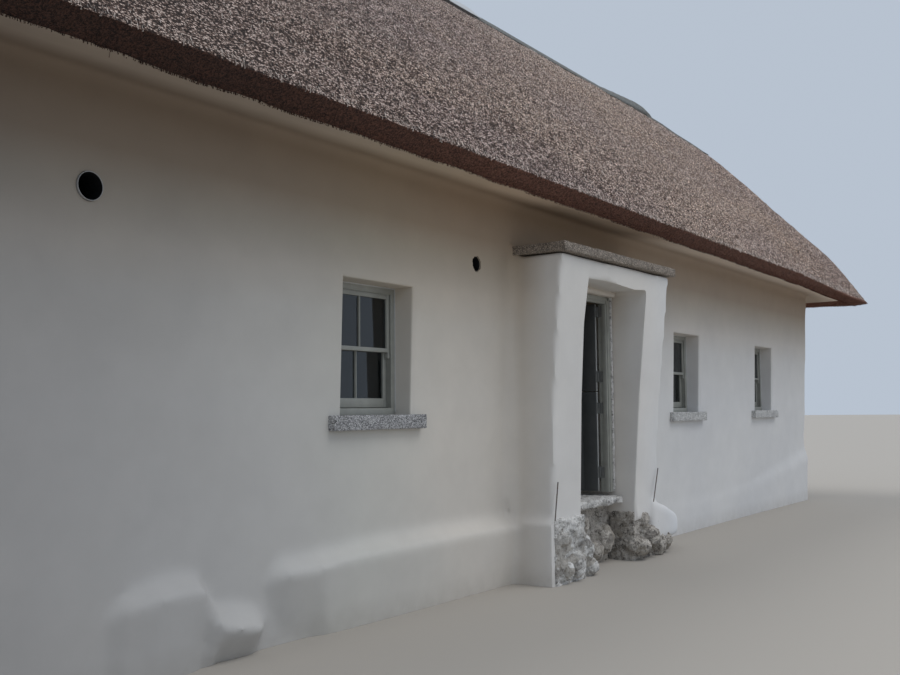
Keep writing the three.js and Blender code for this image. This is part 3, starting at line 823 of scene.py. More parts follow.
def flared_cut(name, low, high, face, radius=ARRIS, round_corner=0.0):
    """A cutter that widens in a rounded arris where it meets a face that looks to -Y."""
    inside_room = -1.6
    cut = block(name, (low[0], face + radius, low[1]), (high[0], inside_room, high[1]))
    edit(cut)
    if round_corner:
        right, top = high[0] - 0.01, high[1] - 0.01
        choose(cut, "EDGE", lambda e: all(v.co.x > right and v.co.z > top for v in e.verts))
        bpy.ops.mesh.bevel(offset=round_corner, segments=6, affect="EDGES")
    choose(cut, "FACE", lambda f: f.normal.y < -0.9)
    middle = ((low[0] + high[0]) / 2, face, (low[1] + high[1]) / 2)
    wide, tall = high[0] - low[0], high[1] - low[1]
    profile = [(0.0, 0.0)]
    for step in range(1, 5):
        angle = math.radians(18 * step)
        profile.append((radius * math.sin(angle), radius * (1 - math.cos(angle))))
    profile.append((profile[-1][0] + 0.016, profile[-1][1] + 0.035))
    for (out, grown), (further, more) in zip(profile, profile[1:]):
        bpy.ops.mesh.extrude_region_move(TRANSFORM_OT_translate={"value": (0, out - further, 0)})
        bpy.ops.transform.resize(
            value=((wide + 2 * more) / (wide + 2 * grown), 1, (tall + 2 * more) / (tall + 2 * grown)),
            center_override=middle)
    bpy.ops.mesh.extrude_region_move(TRANSFORM_OT_translate={"value": (0, -0.5, 0)})
    leave()
    return cut


def reveal_half(wall, number):
    """Half the width of an opening in the plaster. The last front one is plastered narrower."""
    return 0.417 if (wall, number) == ("front", 4) else REVEAL_HALF


def window_cut(x, z0, z1, wall, half):
    """A window's cutter, its mouth leaning with the wall."""
    low = z0 - SILL_BED
    face = -WALL_HALF_DEPTH + lean_at(low) + 0.004
    cut = flared_cut("window_cut", (x - half, low), (x + half, z1 - 0.003), face)
    edit(cut)
    push(cut, lambda v: v.co.y < -2 and v.co.z > (z0 + z1) / 2, (0, -WALL_LEAN * (z1 - low), 0))
    leave()
    if wall == "back":
        cut.rotation_euler.z = math.pi
        cut.location.x = 2 * x
        settle(cut, "window_cut")
    return cut


def window_cuts(wall, numbers):
    made = []
    for i in numbers:
        low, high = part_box(f"{wall}_window_{i}_sashes")
        made.append(window_cut((low.x + high.x) / 2, low.z, high.z, wall, reveal_half(wall, i)))
    return made


def doorway_cut():
    """The doorway's cutter: its head dips a little to the right, and its right side flares."""
    half = DOORWAY_HALF - 0.004
    cut = flared_cut(
        "doorway", (-half, -0.6), (half, DOORWAY_HEAD_Z), -PORCH_FRONT_LEFT[0] + 0.004, round_corner=0.05)
    levels = list(zip(PORCH_LEVELS, PORCH_FRONT_LEFT, PORCH_FRONT_RIGHT))
    for z, *_ in levels[:-1]:
        slice_across(cut, *across(2, z))
    for x, _ in DOORWAY_HEAD_WAVES:
        slice_across(cut, *across(0, x))
    edit(cut)
    push(cut, lambda v: v.co.y < PORCH_FACE_START and v.co.x > 0.5, (DOORWAY_FLARE, 0, 0))
    push(cut, lambda v: v.co.y < PORCH_FACE_START and v.co.x < -0.5 and v.co.z > 2.0, (-0.02, 0, 0))
    for x, lift in DOORWAY_HEAD_WAVES:
        push(cut, lambda v: abs(v.co.x - x) < 0.02 and v.co.z > 2.8, (0, 0, lift))
    leave()
    follow_porch_face(cut, levels[:-1])
    edit(cut)
    for side, front in ((-1, 3.078), (1, 3.140)):
        push(
            cut, lambda v: v.co.z > 2.6 and v.co.x * side > 0 and v.co.y < PORCH_FACE_START,
            (0, PORCH_FRONT_LEFT[0] - front, 0))
    leave()
    return cut


def duct_cut():
    low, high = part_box("vent_duct")
    centre = ((low.x + high.x) / 2, BORE_MIDDLE_Y, (low.z + high.z) / 2)
    return rod("duct_bore", centre, (high.x - low.x) / 2 + 0.002, BORE_LENGTH, ALONG_Y, sides=48)


def hole_cut():
    """The ragged hole that waits for another duct."""
    x, z = HOLE_AT
    sides = 40
    ragged = rod("hole_bore", (x, BORE_MIDDLE_Y, z), 0.070, BORE_LENGTH, ALONG_Y, sides=sides)

    def turned_by(v, angle):
        return abs(math.remainder(math.atan2(v.co.z - z, v.co.x - x) - angle, math.tau))

    edit(ragged)
    rng = random.Random(11)
    for step in range(sides):
        angle = math.tau * step / sides
        grow = rng.uniform(0.92, 1.12)
        choose(ragged, "VERT", lambda v: turned_by(v, angle) < 0.05)
        bpy.ops.transform.resize(value=(grow, 1, grow), center_override=(x, BORE_MIDDLE_Y, z))
    leave()
    return ragged


def build_hole_lining(finish):
    """A near-black sleeve inside the hole: painted shade for the wall's core."""
    x, z = HOLE_AT
    core = rod("hole_core", (x, -2.212, z), 0.0635, 0.606, ALONG_Y, 40, "NOTHING")
    work(core, "SOLIDIFY", thickness=0.005, offset=1)
    dress(smooth(core, 40), finish)


def seal(obj):
    """Closes the slits that a cut can leave along its edge."""
    edit(obj)
    bpy.ops.mesh.select_mode(type="EDGE")
    bpy.ops.mesh.select_non_manifold(extend=False)
    bpy.ops.mesh.fill_holes(sides=0)
    leave()


def cut_out(source, name, *planes):
    """A closed part of a bigger piece. Each plane drops the side that its normal points to."""
    piece = copy_of(source, name)
    for at, normal in planes:
        slice_across(piece, at, normal, drop_outer=True)
        seal(piece)
    return piece


def build_plaster(finish):
    parts = [plaster_walls(), plaster_soffit(), plaster_porch(), *plaster_toes(), *footing_ledges()]
    whole = gather(parts, "whole")
    mass(whole, voxel=0.031)
    soften(whole, 4)
    mark(whole, "foot", lambda p: p.z < 0.85 and abs(p.x) > 1.3)
    soften(whole, 5, "foot")
    mark(whole, "ends_of_far_ledges", lambda p: p.z < 1.2 and (p.x > 1.9 or p.x < -6.0))
    soften(whole, 14, "ends_of_far_ledges")
    mark(whole, "out_of_sight", lambda p: p.y > -1.8)
    thin_out(whole, 0.45, "out_of_sight")
    whole.vertex_groups.clear()
    thin_out(whole, 0.76)
    roughen(whole, clouds("float_waves", 0.8), 0.016)
    slice_across(whole, *across(2, PLASTER_FOOT_Z), drop_inner=True)
    seal(whole)

    front = across(1, -ROOM_HALF_DEPTH, 1)
    left = cut_out(whole, "front_plaster_left", front, across(0, -SEAM_X, 1))
    middle = cut_out(whole, "front_plaster_middle", front, across(0, -SEAM_X, -1), across(0, SEAM_X, 1))
    right = cut_out(whole, "front_plaster_right", across(0, SEAM_X, -1), front)
    rear = cut_out(whole, "back_plaster", across(1, ROOM_HALF_DEPTH, -1))
    between = (across(1, -ROOM_HALF_DEPTH, -1), across(1, ROOM_HALF_DEPTH, 1))
    left_end = cut_out(whole, "left_end_plaster", across(0, -ROOM_HALF_LENGTH, 1), *between)
    right_end = cut_out(whole, "right_end_plaster", across(0, ROOM_HALF_LENGTH, -1), *between)
    bpy.data.objects.remove(whole)

    openings = {
        left: [*window_cuts("front", (1, 2)), duct_cut()],
        middle: [doorway_cut(), hole_cut()],
        right: window_cuts("front", (3, 4)),
        rear: window_cuts("back", (1, 2)),
    }
    for piece, cutters in openings.items():
        for cutter in cutters:
            carve(piece, cutter)

    stands_for = {
        left: ("front_wall_left", "soffit_front"),
        middle: ("front_wall_over_door", "porch_left_cheek", "porch_right_cheek", "porch_head"),
        right: ("front_wall_right",),
        rear: ("back_wall", "soffit_back"),
        left_end: ("left_end_wall", "soffit_left_end"),
        right_end: ("right_end_wall", "soffit_right_end"),
    }
    for piece, nodes in stands_for.items():
        smooth(piece, 50)
        dress(piece, finish, nodes=nodes)


# Thatch

def mitre(end, side):
    """A hip's plane: a point on it and its normal, pointing to the hip's end of the house."""
    top = Vector((end * RIDGE_HALF, 0, RIDGE_Z))
    lip = Vector((end * EAVES_LIP_X, side * EAVES_LIP_V, EAVES_LIP_Z))
    wall = Vector((end * WALL_HALF_LENGTH, side * WALL_HALF_DEPTH, SOFFIT_Z))
    normal = (lip - top).cross(wall - top).normalized()
    if normal.x * end < 0:
        normal = -normal
    return top, normal


def thatch_shell():
    nodes = ("thatch_front_slope", "thatch_back_slope", "thatch_left_hip", "thatch_right_hip")
    shell = gather([solid_copy(node, node + "_start") for node in nodes], "thatch")
    mass(shell, voxel=0.05)
    mark(shell, "slopes", lambda p: EAVES_LIP_Z + 0.1 < p.z < RIDGE_Z - 0.22)
    soften(shell, 12, "slopes")
    lowered = {
        "right_corner": ((5.2, 9.2), (0.5, 3.2), (-4.3, -3.75)),
        "right_lip": ((5.6, 9.6), (3.18, 3.34), (-3.95, -3.62)),
    }
    for group, (right, ahead, down) in lowered.items():
        weigh(shell, group, lambda p: rise(p.x, *right) * rise(-p.y, *ahead) * rise(-p.z, *down))
        work(shell, "DISPLACE", direction="Z", strength=-0.045, mid_level=0, vertex_group=group)

    def at_edge(p):
        return abs(p.y) > 2.9 or abs(p.x) > 9.4

    def inside(p):
        return abs(p.y) < 2.9 and abs(p.x) < 9.4

    mark(shell, "outside", lambda p: at_edge(p) or p.z > under_thatch(p) + 0.2)
    mark(shell, "loft", lambda p: p.z > SOFFIT_Z and inside(p) and p.z < under_thatch(p) + 0.2)
    roughen(shell, clouds("thatch_waves", 0.55), 0.035, "outside")
    roughen(shell, clouds("thatch_lumps", 0.11, 3), 0.012, "outside")
    edit_all(shell)
    inward = 0.03
    bpy.ops.transform.resize(
        value=(1 - inward / EAVES_LIP_X, 1 - inward / EAVES_LIP_V, 1), center_override=(0, 0, 0))
    leave()
    slice_across(shell, *across(2, EAVES_LIP_Z))
    thin_out(shell, 0.60, "loft")
    shell.vertex_groups.clear()
    mark(shell, "seldom_seen", lambda p: p.y > 0.3)
    thin_out(shell, 0.74, "seldom_seen")
    shell.vertex_groups.clear()
    return shell


def under_thatch(p):
    """Height of the roof's underside over a point."""
    slope = (RIDGE_Z - EAVES_LIP_Z) / EAVES_LIP_V
    end_drop = max(0, abs(p.x) - RIDGE_HALF) * (RIDGE_Z - EAVES_LIP_Z) / (EAVES_LIP_X - RIDGE_HALF)
    return RIDGE_Z - 0.478 - max(slope * abs(p.y), end_drop)


def part_of_thatch(shell, name):
    """Cuts one slope or hip out of the whole shell, along the mitres."""
    if "slope" in name:
        side = -1 if "front" in name else 1
        planes = [across(1, 0, -side)]
        for end in (-1, 1):
            planes.append(mitre(end, side))
    else:
        end = -1 if "left" in name else 1
        planes = [(point, -normal) for point, normal in (mitre(end, -1), mitre(end, 1))]
    return cut_out(shell, name + "_coat", *planes)


def reed_stub(name, finish, radius, length, tilt):
    """One cut reed end: its butt shows and its thin end is buried up the slope."""
    deselect()
    bpy.ops.mesh.primitive_cone_add(
        vertices=3, radius1=radius, radius2=0, depth=length, rotation=(math.radians(90 - tilt), 0, 0))
    stub = settle(bpy.context.object, name)
    push_all(stub, (0, -length * 0.16, 0))
    stub.data.materials.append(finish)
    return stub


def scatter(
        name, ground, stub, density, seed, steepest, highest, lowest, hang=0.0, jitter=0.3,
        sizes=(0.7, 1.3)):
    """Scatters reed ends over a surface, pointing down the slope, or down and out where they hang."""
    group = bpy.data.node_groups.new(name, "GeometryNodeTree")
    group.interface.new_socket("Geometry", in_out="INPUT", socket_type="NodeSocketGeometry")
    group.interface.new_socket("Geometry", in_out="OUTPUT", socket_type="NodeSocketGeometry")

    def node(kind, feeds=None, **settings):
        """Adds a node, its sockets fed with values or with other nodes' outputs."""
        added = group.nodes.new(kind)
        for key, value in settings.items():
            setattr(added, key, value)
        for socket, value in (feeds or {}).items():
            if isinstance(value, bpy.types.NodeSocket):
                group.links.new(value, added.inputs[socket])
            else:
                added.inputs[socket].default_value = value
        return added.outputs

    def limit(value, operation, bound):
        feeds = {0: value, 1: bound}
        return node("FunctionNodeCompare", feeds, data_type="FLOAT", operation=operation)[0]

    def both(first, second):
        return node("FunctionNodeBooleanMath", {0: first, 1: second}, operation="AND")[0]

    def upward(value):
        return node("ShaderNodeSeparateXYZ", {0: value})["Z"]

    # Where reed ends grow
    facing = upward(node("GeometryNodeInputNormal")[0])
    level = upward(node("GeometryNodeInputPosition")[0])
    heights = both(limit(level, "GREATER_THAN", lowest), limit(level, "LESS_THAN", highest))
    slopes = limit(facing, "LESS_THAN" if hang else "GREATER_THAN", steepest)
    points = node("GeometryNodeDistributePointsOnFaces", {
        "Mesh": node("NodeGroupInput")[0], "Selection": both(heights, slopes), "Density": density,
        "Seed": seed}, distribute_method="RANDOM")
    normal = points["Normal"]

    # Which way they point
    share = 1 - hang if hang else upward(normal)
    lift = node("ShaderNodeVectorMath", {0: normal, "Scale": share}, operation="SCALE")[0]
    fall = node("ShaderNodeVectorMath", {0: lift, 1: (0, 0, hang or 1)}, operation="SUBTRACT")[0]
    upright = node("FunctionNodeAlignRotationToVector", {"Vector": normal}, axis="Z")[0]
    downhill = node("FunctionNodeAlignRotationToVector", {"Rotation": upright, "Vector": fall}, axis="Y")[0]
    wobble = node("FunctionNodeRandomValue", {
        "Min": (-jitter, -jitter, -jitter), "Max": (jitter, jitter, jitter),
        "Seed": seed + 1}, data_type="FLOAT_VECTOR")[0]
    turn = node("FunctionNodeEulerToRotation", {0: wobble})[0]
    pointed = node("FunctionNodeRotateRotation", {0: downhill, 1: turn}, rotation_space="LOCAL")[0]

    # How big each is, and how light
    size = node("FunctionNodeRandomValue", {2: sizes[0], 3: sizes[1], "Seed": seed + 2}, data_type="FLOAT")[1]
    source = node("GeometryNodeObjectInfo", {"Object": stub})["Geometry"]
    placed = node("GeometryNodeInstanceOnPoints", {
        "Points": points["Points"], "Instance": source, "Rotation": pointed, "Scale": size})[0]
    tone = node("FunctionNodeRandomValue", {"Seed": seed + 3}, data_type="FLOAT")[1]
    shaded = node("GeometryNodeStoreNamedAttribute", {
        "Geometry": placed, "Name": "shade", "Value": tone}, data_type="FLOAT", domain="INSTANCE")[0]
    node("NodeGroupOutput", {0: node("GeometryNodeRealizeInstances", {0: shaded})[0]})

    made = copy_of(ground, name)
    made.data.materials.clear()
    made.data.materials.append(stub.data.materials[0])
    work(made, "NODES", node_group=group)
    return made


def trim_to_box(obj):
    """Cuts off reed ends that stand out past the eaves."""
    for axis, reach in ((0, EAVES_LIP_X), (1, EAVES_LIP_V)):
        for sign in (-1, 1):
            at, normal = across(axis, sign * reach, sign)
            edit_all(obj)
            bpy.ops.mesh.bisect(plane_co=at, plane_no=normal, clear_outer=True)
            leave()


def build_thatch(coats, underside, butts):
    shell = thatch_shell()
    stub = reed_stub("reed_stub", butts, radius=0.0066, length=0.028, tilt=38)
    lip_stub = reed_stub("lip_stub", butts, radius=0.0056, length=0.040, tilt=14)
    fringe = reed_stub("fringe_stub", underside, radius=0.0032, length=0.040, tilt=0)
    straw = reed_stub("stray_reed", underside, radius=0.0018, length=0.13, tilt=0)
    per_square_metre = {"front_slope": 350, "back_slope": 120, "left_hip": 180, "right_hip": 260}
    for seed, (short, density) in enumerate(per_square_metre.items()):
        name = "thatch_" + short
        piece = part_of_thatch(shell, name)
        smooth(piece, 80)
        dress(piece, coats[short], nodes=(name,))
        piece.data.materials.append(underside)
        # Faces that turn under, and those below the lip, take the underside's reed, painted dark as shade.
        for face in piece.data.polygons:
            turned_under = -0.25 - 0.35 * rise(face.center.x, 5.5, 9.5)
            lip_bottom = EAVES_LIP_Z - 0.06 * rise(face.center.x, 5.5, 9.0)
            if face.normal.z < turned_under or face.center.z < lip_bottom:
                face.material_index = 1
        reeds = scatter(short + "_reeds", piece, stub, density, seed * 10, 0.2, 9, EAVES_LIP_Z + 0.04)
        lip = scatter(
            short + "_lip", piece, lip_stub, 2000, seed * 10 + 3, 0.1, EAVES_LIP_Z + 0.06, EAVES_LIP_Z - 0.01,
            jitter=0.22, sizes=(0.5, 1.2))
        edge = scatter(
            short + "_fringe", piece, fringe, 2600, seed * 10 + 5, 0.1, 3.53, 3.3, hang=0.5, jitter=0.3,
            sizes=(0.4, 1.1))
        strays = scatter(
            short + "_strays", piece, straw, 10, seed * 10 + 7, 0.1, 3.56, 3.3, hang=0.6, jitter=0.6,
            sizes=(0.3, 1.0))
        reeds = gather([reeds, lip], short + "_reeds")
        hanging = gather([edge, strays], short + "_fringe")
        trim_to_box(reeds)
        trim_to_box(hanging)
        dress(reeds, butts)
        dress(hanging, underside)
    bands = mitre_bands(shell)
    for start in (shell, stub, lip_stub, fringe, straw):
        bpy.data.objects.remove(start)
    return bands


def mitre_bands(shell):
    """Strips of the netted reed that run a little way down each hip from the ridge."""
    bands = []
    for end in (-1, 1):
        for side in (-1, 1):
            point, normal = mitre(end, side)
            band = cut_out(
                shell, "hip_band", (point + normal * 0.14, normal), (point - normal * 0.14, -normal),
                across(2, 6.30, -1), across(1, 0, -side), across(0, end * 7.35, -end))
            push_all(band, (end * 0.012, side * 0.012, 0.014))
            bands.append(band)
    return bands


def build_ridge(bands, netting, board_finish, sheet_finish):
    """The netted cover along the ridge, with a board and a sheet left on it."""
    cover = solid_copy("ridge_cover", "ridge_roll")
    mass(cover, voxel=0.024)
    soften(cover, 5)
    thin_out(cover, 0.30)
    roughen(cover, clouds("ridge_lumps", 0.16), 0.016)
    push_all(cover, (0, 0, -0.010))
    ridge = gather([cover, *bands], "ridge_roll")
    smooth(ridge, 60)
    dress(ridge, netting, nodes=("ridge_cover",))

    board = block("ridge_board", (0.60, -0.300, 6.875), (1.60, -0.262, 6.925))
    chamfer(board, 0.004, 2)
    dress(smooth(board, 30), board_finish)
    sheet = block("ridge_sheet", (1.20, -0.19, 7.005), (1.95, 0.19, 7.011))
    slice_across(sheet, *across(1, 0))
    edit(sheet)
    push(sheet, lambda v: abs(v.co.y) < 0.01, (0, 0, 0.185))
    bpy.ops.mesh.select_all(action="SELECT")
    bpy.ops.mesh.subdivide(number_cuts=8)
    leave()
    roughen(sheet, clouds("sheet_creases", 0.18), 0.02)
    dress(smooth(sheet, 50), sheet_finish)


# Stone

def dressed_stone(name, low, high, texture, grain, fineness):
    """A squared stone with worn edges and a punched face."""
    stone = block(name, low, high)
    for axis in range(3):
        length = high[axis] - low[axis]
        steps = max(1, round(length / fineness))
        for step in range(1, steps):
            slice_across(stone, *across(axis, low[axis] + length * step / steps))
    chamfer(stone, 0.005, 1)
    roughen(stone, texture, grain)
    return smooth(stone, 45)


def build_sills(grey, pale):
    punched = clouds("punched_face", 0.03, 2)
    for wall, count in WINDOWS:
        for i in range(count):
            node = f"{wall}_window_{i + 1}_sill"
            low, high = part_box(node)
            stone = dressed_stone(node + "_stone", low, high, punched, 0.007, 0.028)
            far = (wall, i) in (("front", 2), ("front", 3))
            dress(stone, pale if far else grey, nodes=(node,))


def build_cap(finish):
    """Two slabs side by side, their joint a little past the middle."""
    low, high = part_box("porch_cap")
    joint = 0.16
    rough = clouds("cap_face", 0.05, 3)
    slabs = []
    for i, (x0, x1) in enumerate(((low.x, joint - 0.003), (joint + 0.003, high.x))):
        slab = dressed_stone(
            f"slab_{i}", (x0, -3.13, low.z + 0.004), (x1, high.y, high.z - 0.004), rough, 0.013, 0.035)
        edit(slab)
        strips = 8
        for step in range(strips):
            share = (step + 0.5) / strips
            x = low.x + (high.x - low.x) * share
            reach = (high.x - low.x) / strips / 2 + 0.001
            push(slab, lambda v: abs(v.co.x - x) < reach and v.co.y < -3.08, (0, -0.062 * share, 0))
        leave()
        slabs.append(slab)
    cap = gather(slabs, "porch_cap_slabs")
    dress(smooth(cap, 45), finish, nodes=("porch_cap",))


def rubble_mass(name, parts, stones, seed, finish, nodes, voxel=0.0145, amount=0.05):
    """Blocks of mortar with field stones in their face, run together and pitted."""
    rng = random.Random(seed)
    pieces = [block(f"{name}_part_{i}", low, high) for i, (low, high) in enumerate(parts)]
    for i, (centre, size) in enumerate(stones):
        radii = [size * rng.uniform(0.8, 1.2) for _ in range(3)]
        pieces.append(boulder(f"{name}_stone_{i}", centre, radii, rng.uniform(0, 3)))
    whole = gather(pieces, name)
    mass(whole, voxel)
    roughen(whole, clouds(name + "_pits", 0.07, 4), amount)
    roughen(whole, clouds(name + "_grit", 0.025, 2), amount * 0.5)
    slice_across(whole, *across(2, RUBBLE_FOOT_Z), drop_inner=True)
    smooth(whole, 35)
    return dress(whole, finish, nodes=nodes)


def build_footings(pale, brown):
    left = [((-1.19, -2.965, -0.2), (-0.62, -2.5, 0.60)), ((-0.66, -2.90, -0.2), (-0.40, -2.6, 0.36))]
    rubble_mass("left_footing_rubble", left, [
        ((-1.02, -2.94, 0.12), 0.10), ((-0.80, -2.94, 0.16), 0.12), ((-0.70, -2.93, 0.42), 0.09),
        ((-1.05, -2.93, 0.42), 0.08), ((-0.85, -2.94, 0.50), 0.07), ((-0.52, -2.88, 0.26), 0.12),
        ((-0.45, -2.88, 0.08), 0.13)], 1, pale, ("porch_left_footing",))
    right = [((0.63, -2.90, -0.2), (1.25, -2.5, 0.52)), ((1.2, -2.88, -0.2), (1.56, -2.5, 0.34))]
    rubble_mass("right_footing_rubble", right, [
        ((0.74, -2.90, 0.14), 0.12), ((0.98, -2.90, 0.22), 0.13), ((0.86, -2.88, 0.42), 0.09),
        ((1.22, -2.90, 0.12), 0.12), ((1.42, -2.88, 0.14), 0.11), ((1.10, -2.90, 0.36), 0.08)],
        2, brown, ("porch_right_footing",))
    doorway = [((-0.58, -2.62, -0.2), (0.58, -1.93, 0.64))]
    rubble_mass("doorway_rubble", doorway, [
        ((-0.35, -2.64, 0.2), 0.15), ((0.05, -2.66, 0.16), 0.16), ((0.4, -2.64, 0.24), 0.14),
        ((-0.1, -2.62, 0.45), 0.12)], 3, brown, ("doorway_footing",), voxel=0.022)
    rubble_mass("threshold_bed", [((-0.60, -2.80, 0.61), (0.60, -2.0, 0.69))], [
        ((-0.45, -2.82, 0.655), 0.04), ((-0.2, -2.82, 0.66), 0.045),
        ((0.15, -2.83, 0.655), 0.04), ((0.40, -2.81, 0.66), 0.04)], 4, pale, (), voxel=0.019, amount=0.03)


def build_frame_packing(mortar, plaster):
    """The rough mortar between the door frame and the plaster, and the plaster over the frame's head."""
    low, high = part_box("door_frame_packing")
    inner = 0.588
    y0, y1 = low.y - 0.028, high.y
    parts = [
        block("fillet_left", (low.x - 0.01, y0, low.z), (-inner + 0.002, y1, high.z)),
        block("fillet_right", (inner - 0.002, y0, low.z), (high.x + 0.01, y1, high.z)),
    ]
    fillet = gather(parts, "door_frame_mortar")
    mass(fillet, voxel=0.014)
    roughen(fillet, clouds("fillet_pits", 0.035, 3), 0.020)
    dress(smooth(fillet, 30), mortar, nodes=("door_frame_packing",))

    head = block("head_fillet", (low.x, y0 - 0.06, 2.832), (high.x, y1, high.z + 0.01))
    mass(head, voxel=0.022)
    roughen(head, clouds("head_waves", 0.2), 0.012)
    dress(smooth(head, 40), plaster)


# Joinery

def bars(name, boxes, edge=0.003):
    """Timber members side by side, every arris eased."""
    made = gather([block(f"{name}_{i}", low, high) for i, (low, high) in enumerate(boxes)], name)
    return chamfer(made, edge, 2)


def putty_bar(name, low, high):
    """A glazing bar that narrows towards the outside."""
    bar = block(name, low, high)
    edit(bar)
    choose(bar, "FACE", lambda f: f.normal.y < -0.9)
    middle = (Vector(low) + Vector(high)) / 2
    bpy.ops.transform.resize(value=(0.4, 1, 1), center_override=middle)
    leave()
    return bar


def sash_window(name, low, high, joinery, glass, nodes):
    """A box frame with two sliding sashes, each with one upright bar and horns on the upper one."""
    front = low.y if low.y < 0 else -high.y
    x = (low.x + high.x) / 2
    half = (high.x - low.x) / 2
    z0, z1 = low.z, high.z
    lining, head, cill, bead = 0.048, 0.048, 0.055, 0.012
    inner = half - lining
    deep = high.y - low.y
    face = [
        ((x - half, front, z0), (x - inner, front + deep, z1)),
        ((x + inner, front, z0), (x + half, front + deep, z1)),
        ((x - inner - 0.001, front, z1 - head), (x + inner + 0.001, front + deep, z1)),
        ((x - inner - 0.001, front - 0.012, z0), (x + inner + 0.001, front + deep, z0 + cill)),
    ]
    face += [
        ((x - inner - 0.001, front, z0 + cill), (x - inner + bead, front + 0.014, z1 - head)),
        ((x + inner - bead, front, z0 + cill), (x + inner + 0.001, front + 0.014, z1 - head)),
        ((x - inner + bead, front, z1 - head - bead), (x + inner - bead, front + 0.014, z1 - head + 0.001)),
    ]
    box = bars(name + "_box", face)

    stile, rail, bottom, meeting = 0.045, 0.045, 0.075, 0.034
    middle = (z0 + cill + z1 - head) / 2
    sashes, panes = [box], []
    upper = (front + 0.016, middle - meeting / 2, z1 - head - 0.005, meeting, rail)
    lower = (front + 0.056, z0 + cill + 0.005, middle + meeting / 2, bottom, meeting)
    for which, (y, s0, s1, low_rail, top_rail) in (("upper", upper), ("lower", lower)):
        a, b = x - inner + 0.002, x + inner - 0.002
        boxes = [
            ((a, y, s0), (a + stile, y + 0.037, s1)), ((b - stile, y, s0), (b, y + 0.037, s1)),
            ((a + stile - 0.001, y, s0), (b - stile + 0.001, y + 0.037, s0 + low_rail)),
            ((a + stile - 0.001, y, s1 - top_rail), (b - stile + 0.001, y + 0.037, s1)),
        ]
        if which == "upper":
            horn = 0.05
            boxes += [
                ((a, y, s0 - horn), (a + 0.03, y + 0.037, s0 + 0.001)),
                ((b - 0.03, y, s0 - horn), (b, y + 0.037, s0 + 0.001)),
            ]
        sashes.append(bars(f"{name}_{which}", boxes))
        sashes.append(putty_bar(
            f"{name}_{which}_bar", (x - 0.011, y + 0.002, s0 + low_rail - 0.002),
            (x + 0.011, y + 0.034, s1 - top_rail + 0.002)))
        for sign in (-1, 1):
            near, far = sorted((x + sign * 0.007, x + sign * (inner - stile + 0.008)))
            panes.append(block(
                f"{name}_pane", (near, y + 0.017, s0 + low_rail - 0.008),
                (far, y + 0.021, s1 - top_rail + 0.008)))
    wood = gather(sashes, name + "_joinery")
    sheets = gather([chamfer(pane, 0.0008, 1) for pane in panes], name + "_panes")
    for piece in (wood, sheets):
        if low.y > 0:
            to_the_back(piece)
    dress(smooth(wood, 30), joinery, nodes=(nodes[0],))
    dress(sheets, glass, nodes=(nodes[1],))


def caulk_bead(name, low, high, half, finish):
    """A thin light bead where the frame meets the plaster, on three sides."""
    front = low.y if low.y < 0 else -high.y
    x, y = (low.x + high.x) / 2, front - 0.004
    top = high.z - 0.003
    boxes = [
        ((x - half - 0.002, y, low.z + 0.02), (x - half + 0.009, front + 0.006, top)),
        ((x + half - 0.009, y, low.z + 0.02), (x + half + 0.002, front + 0.006, top)),
        ((x - half, y, top - 0.009), (x + half, front + 0.006, top + 0.002)),
    ]
    bead = bars(name + "_caulk", boxes, 0.002)
    if low.y > 0:
        to_the_back(bead)
    dress(smooth(bead, 30), finish)


def build_windows(joinery, glass, caulk):
    for wall, count in WINDOWS:
        for i in range(1, count + 1):
            name = f"{wall}_window_{i}"
            low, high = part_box(name + "_sashes")
            sash_window(name, low, high, joinery, glass, (name + "_sashes", name + "_glass"))
            caulk_bead(name, low, high, reveal_half(wall, i), caulk)


def build_door_frame(joinery):
    left_low, left_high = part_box("door_jamb_left")
    head_low, head_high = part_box("door_head")
    front, back = left_low.y, left_high.y
    outer, clear, stop = -left_low.x, 0.5, 0.486
    foot, jamb_top, top = left_low.z, head_low.z, head_high.z
    jamb = [
        ((clear, outer), (front + 0.004, back), jamb_top),
        ((stop, clear + 0.002), (front, front + 0.045), jamb_top),
        ((clear + 0.018, outer + 0.001), (front - 0.006, front + 0.006), top),
        ((outer - 0.001, 0.591), (front - 0.002, back), top),
    ]
    boxes = []
    for side in (-1, 1):
        for xs, (y0, y1), z1 in jamb:
            x0, x1 = sorted(side * x for x in xs)
            boxes.append(((x0, y0, foot), (x1, y1, z1)))
    boxes += [
        ((-outer, front + 0.004, jamb_top - 0.0005), (outer, back, top)),
        ((-outer + 0.02, front - 0.006, jamb_top + 0.018), (outer - 0.02, front + 0.006, top)),
        ((-clear, front, jamb_top - 0.014), (clear, front + 0.045, jamb_top + 0.001)),
    ]
    door_frame = bars("door_frame", boxes, 0.0025)
    nodes = ("door_jamb_left", "door_jamb_right", "door_head")
    dress(smooth(door_frame, 30), joinery, nodes=nodes)


def build_leaf(name, paint, edge_paint):
    """Upright boards on the outer face, with ledges and a stile behind them."""
    low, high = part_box(name)
    count = 6
    wide = (high.y - low.y) / count
    boards = []
    for i in range(count):
        y = low.y + i * wide
        boards.append(((low.x, y, low.z), (low.x + 0.020, y + wide, high.z)))
    face = bars(name + "_boards", boards, 0.0045)
    dress(smooth(face, 30), paint, body=name, nodes=(name,))
    front, back = low.x + 0.0203, high.x
    rear = [
        ((front, low.y, low.z), (back, low.y + 0.095, high.z)),
        ((front, high.y - 0.095, low.z), (back, high.y, high.z)),
        ((front, low.y + 0.094, low.z), (back - 0.003, high.y - 0.094, low.z + 0.14)),
        ((front, low.y + 0.094, high.z - 0.12), (back - 0.003, high.y - 0.094, high.z)),
    ]
    ledges = bars(name + "_ledges", rear, 0.003)
    dress(smooth(ledges, 30), edge_paint, body=name)


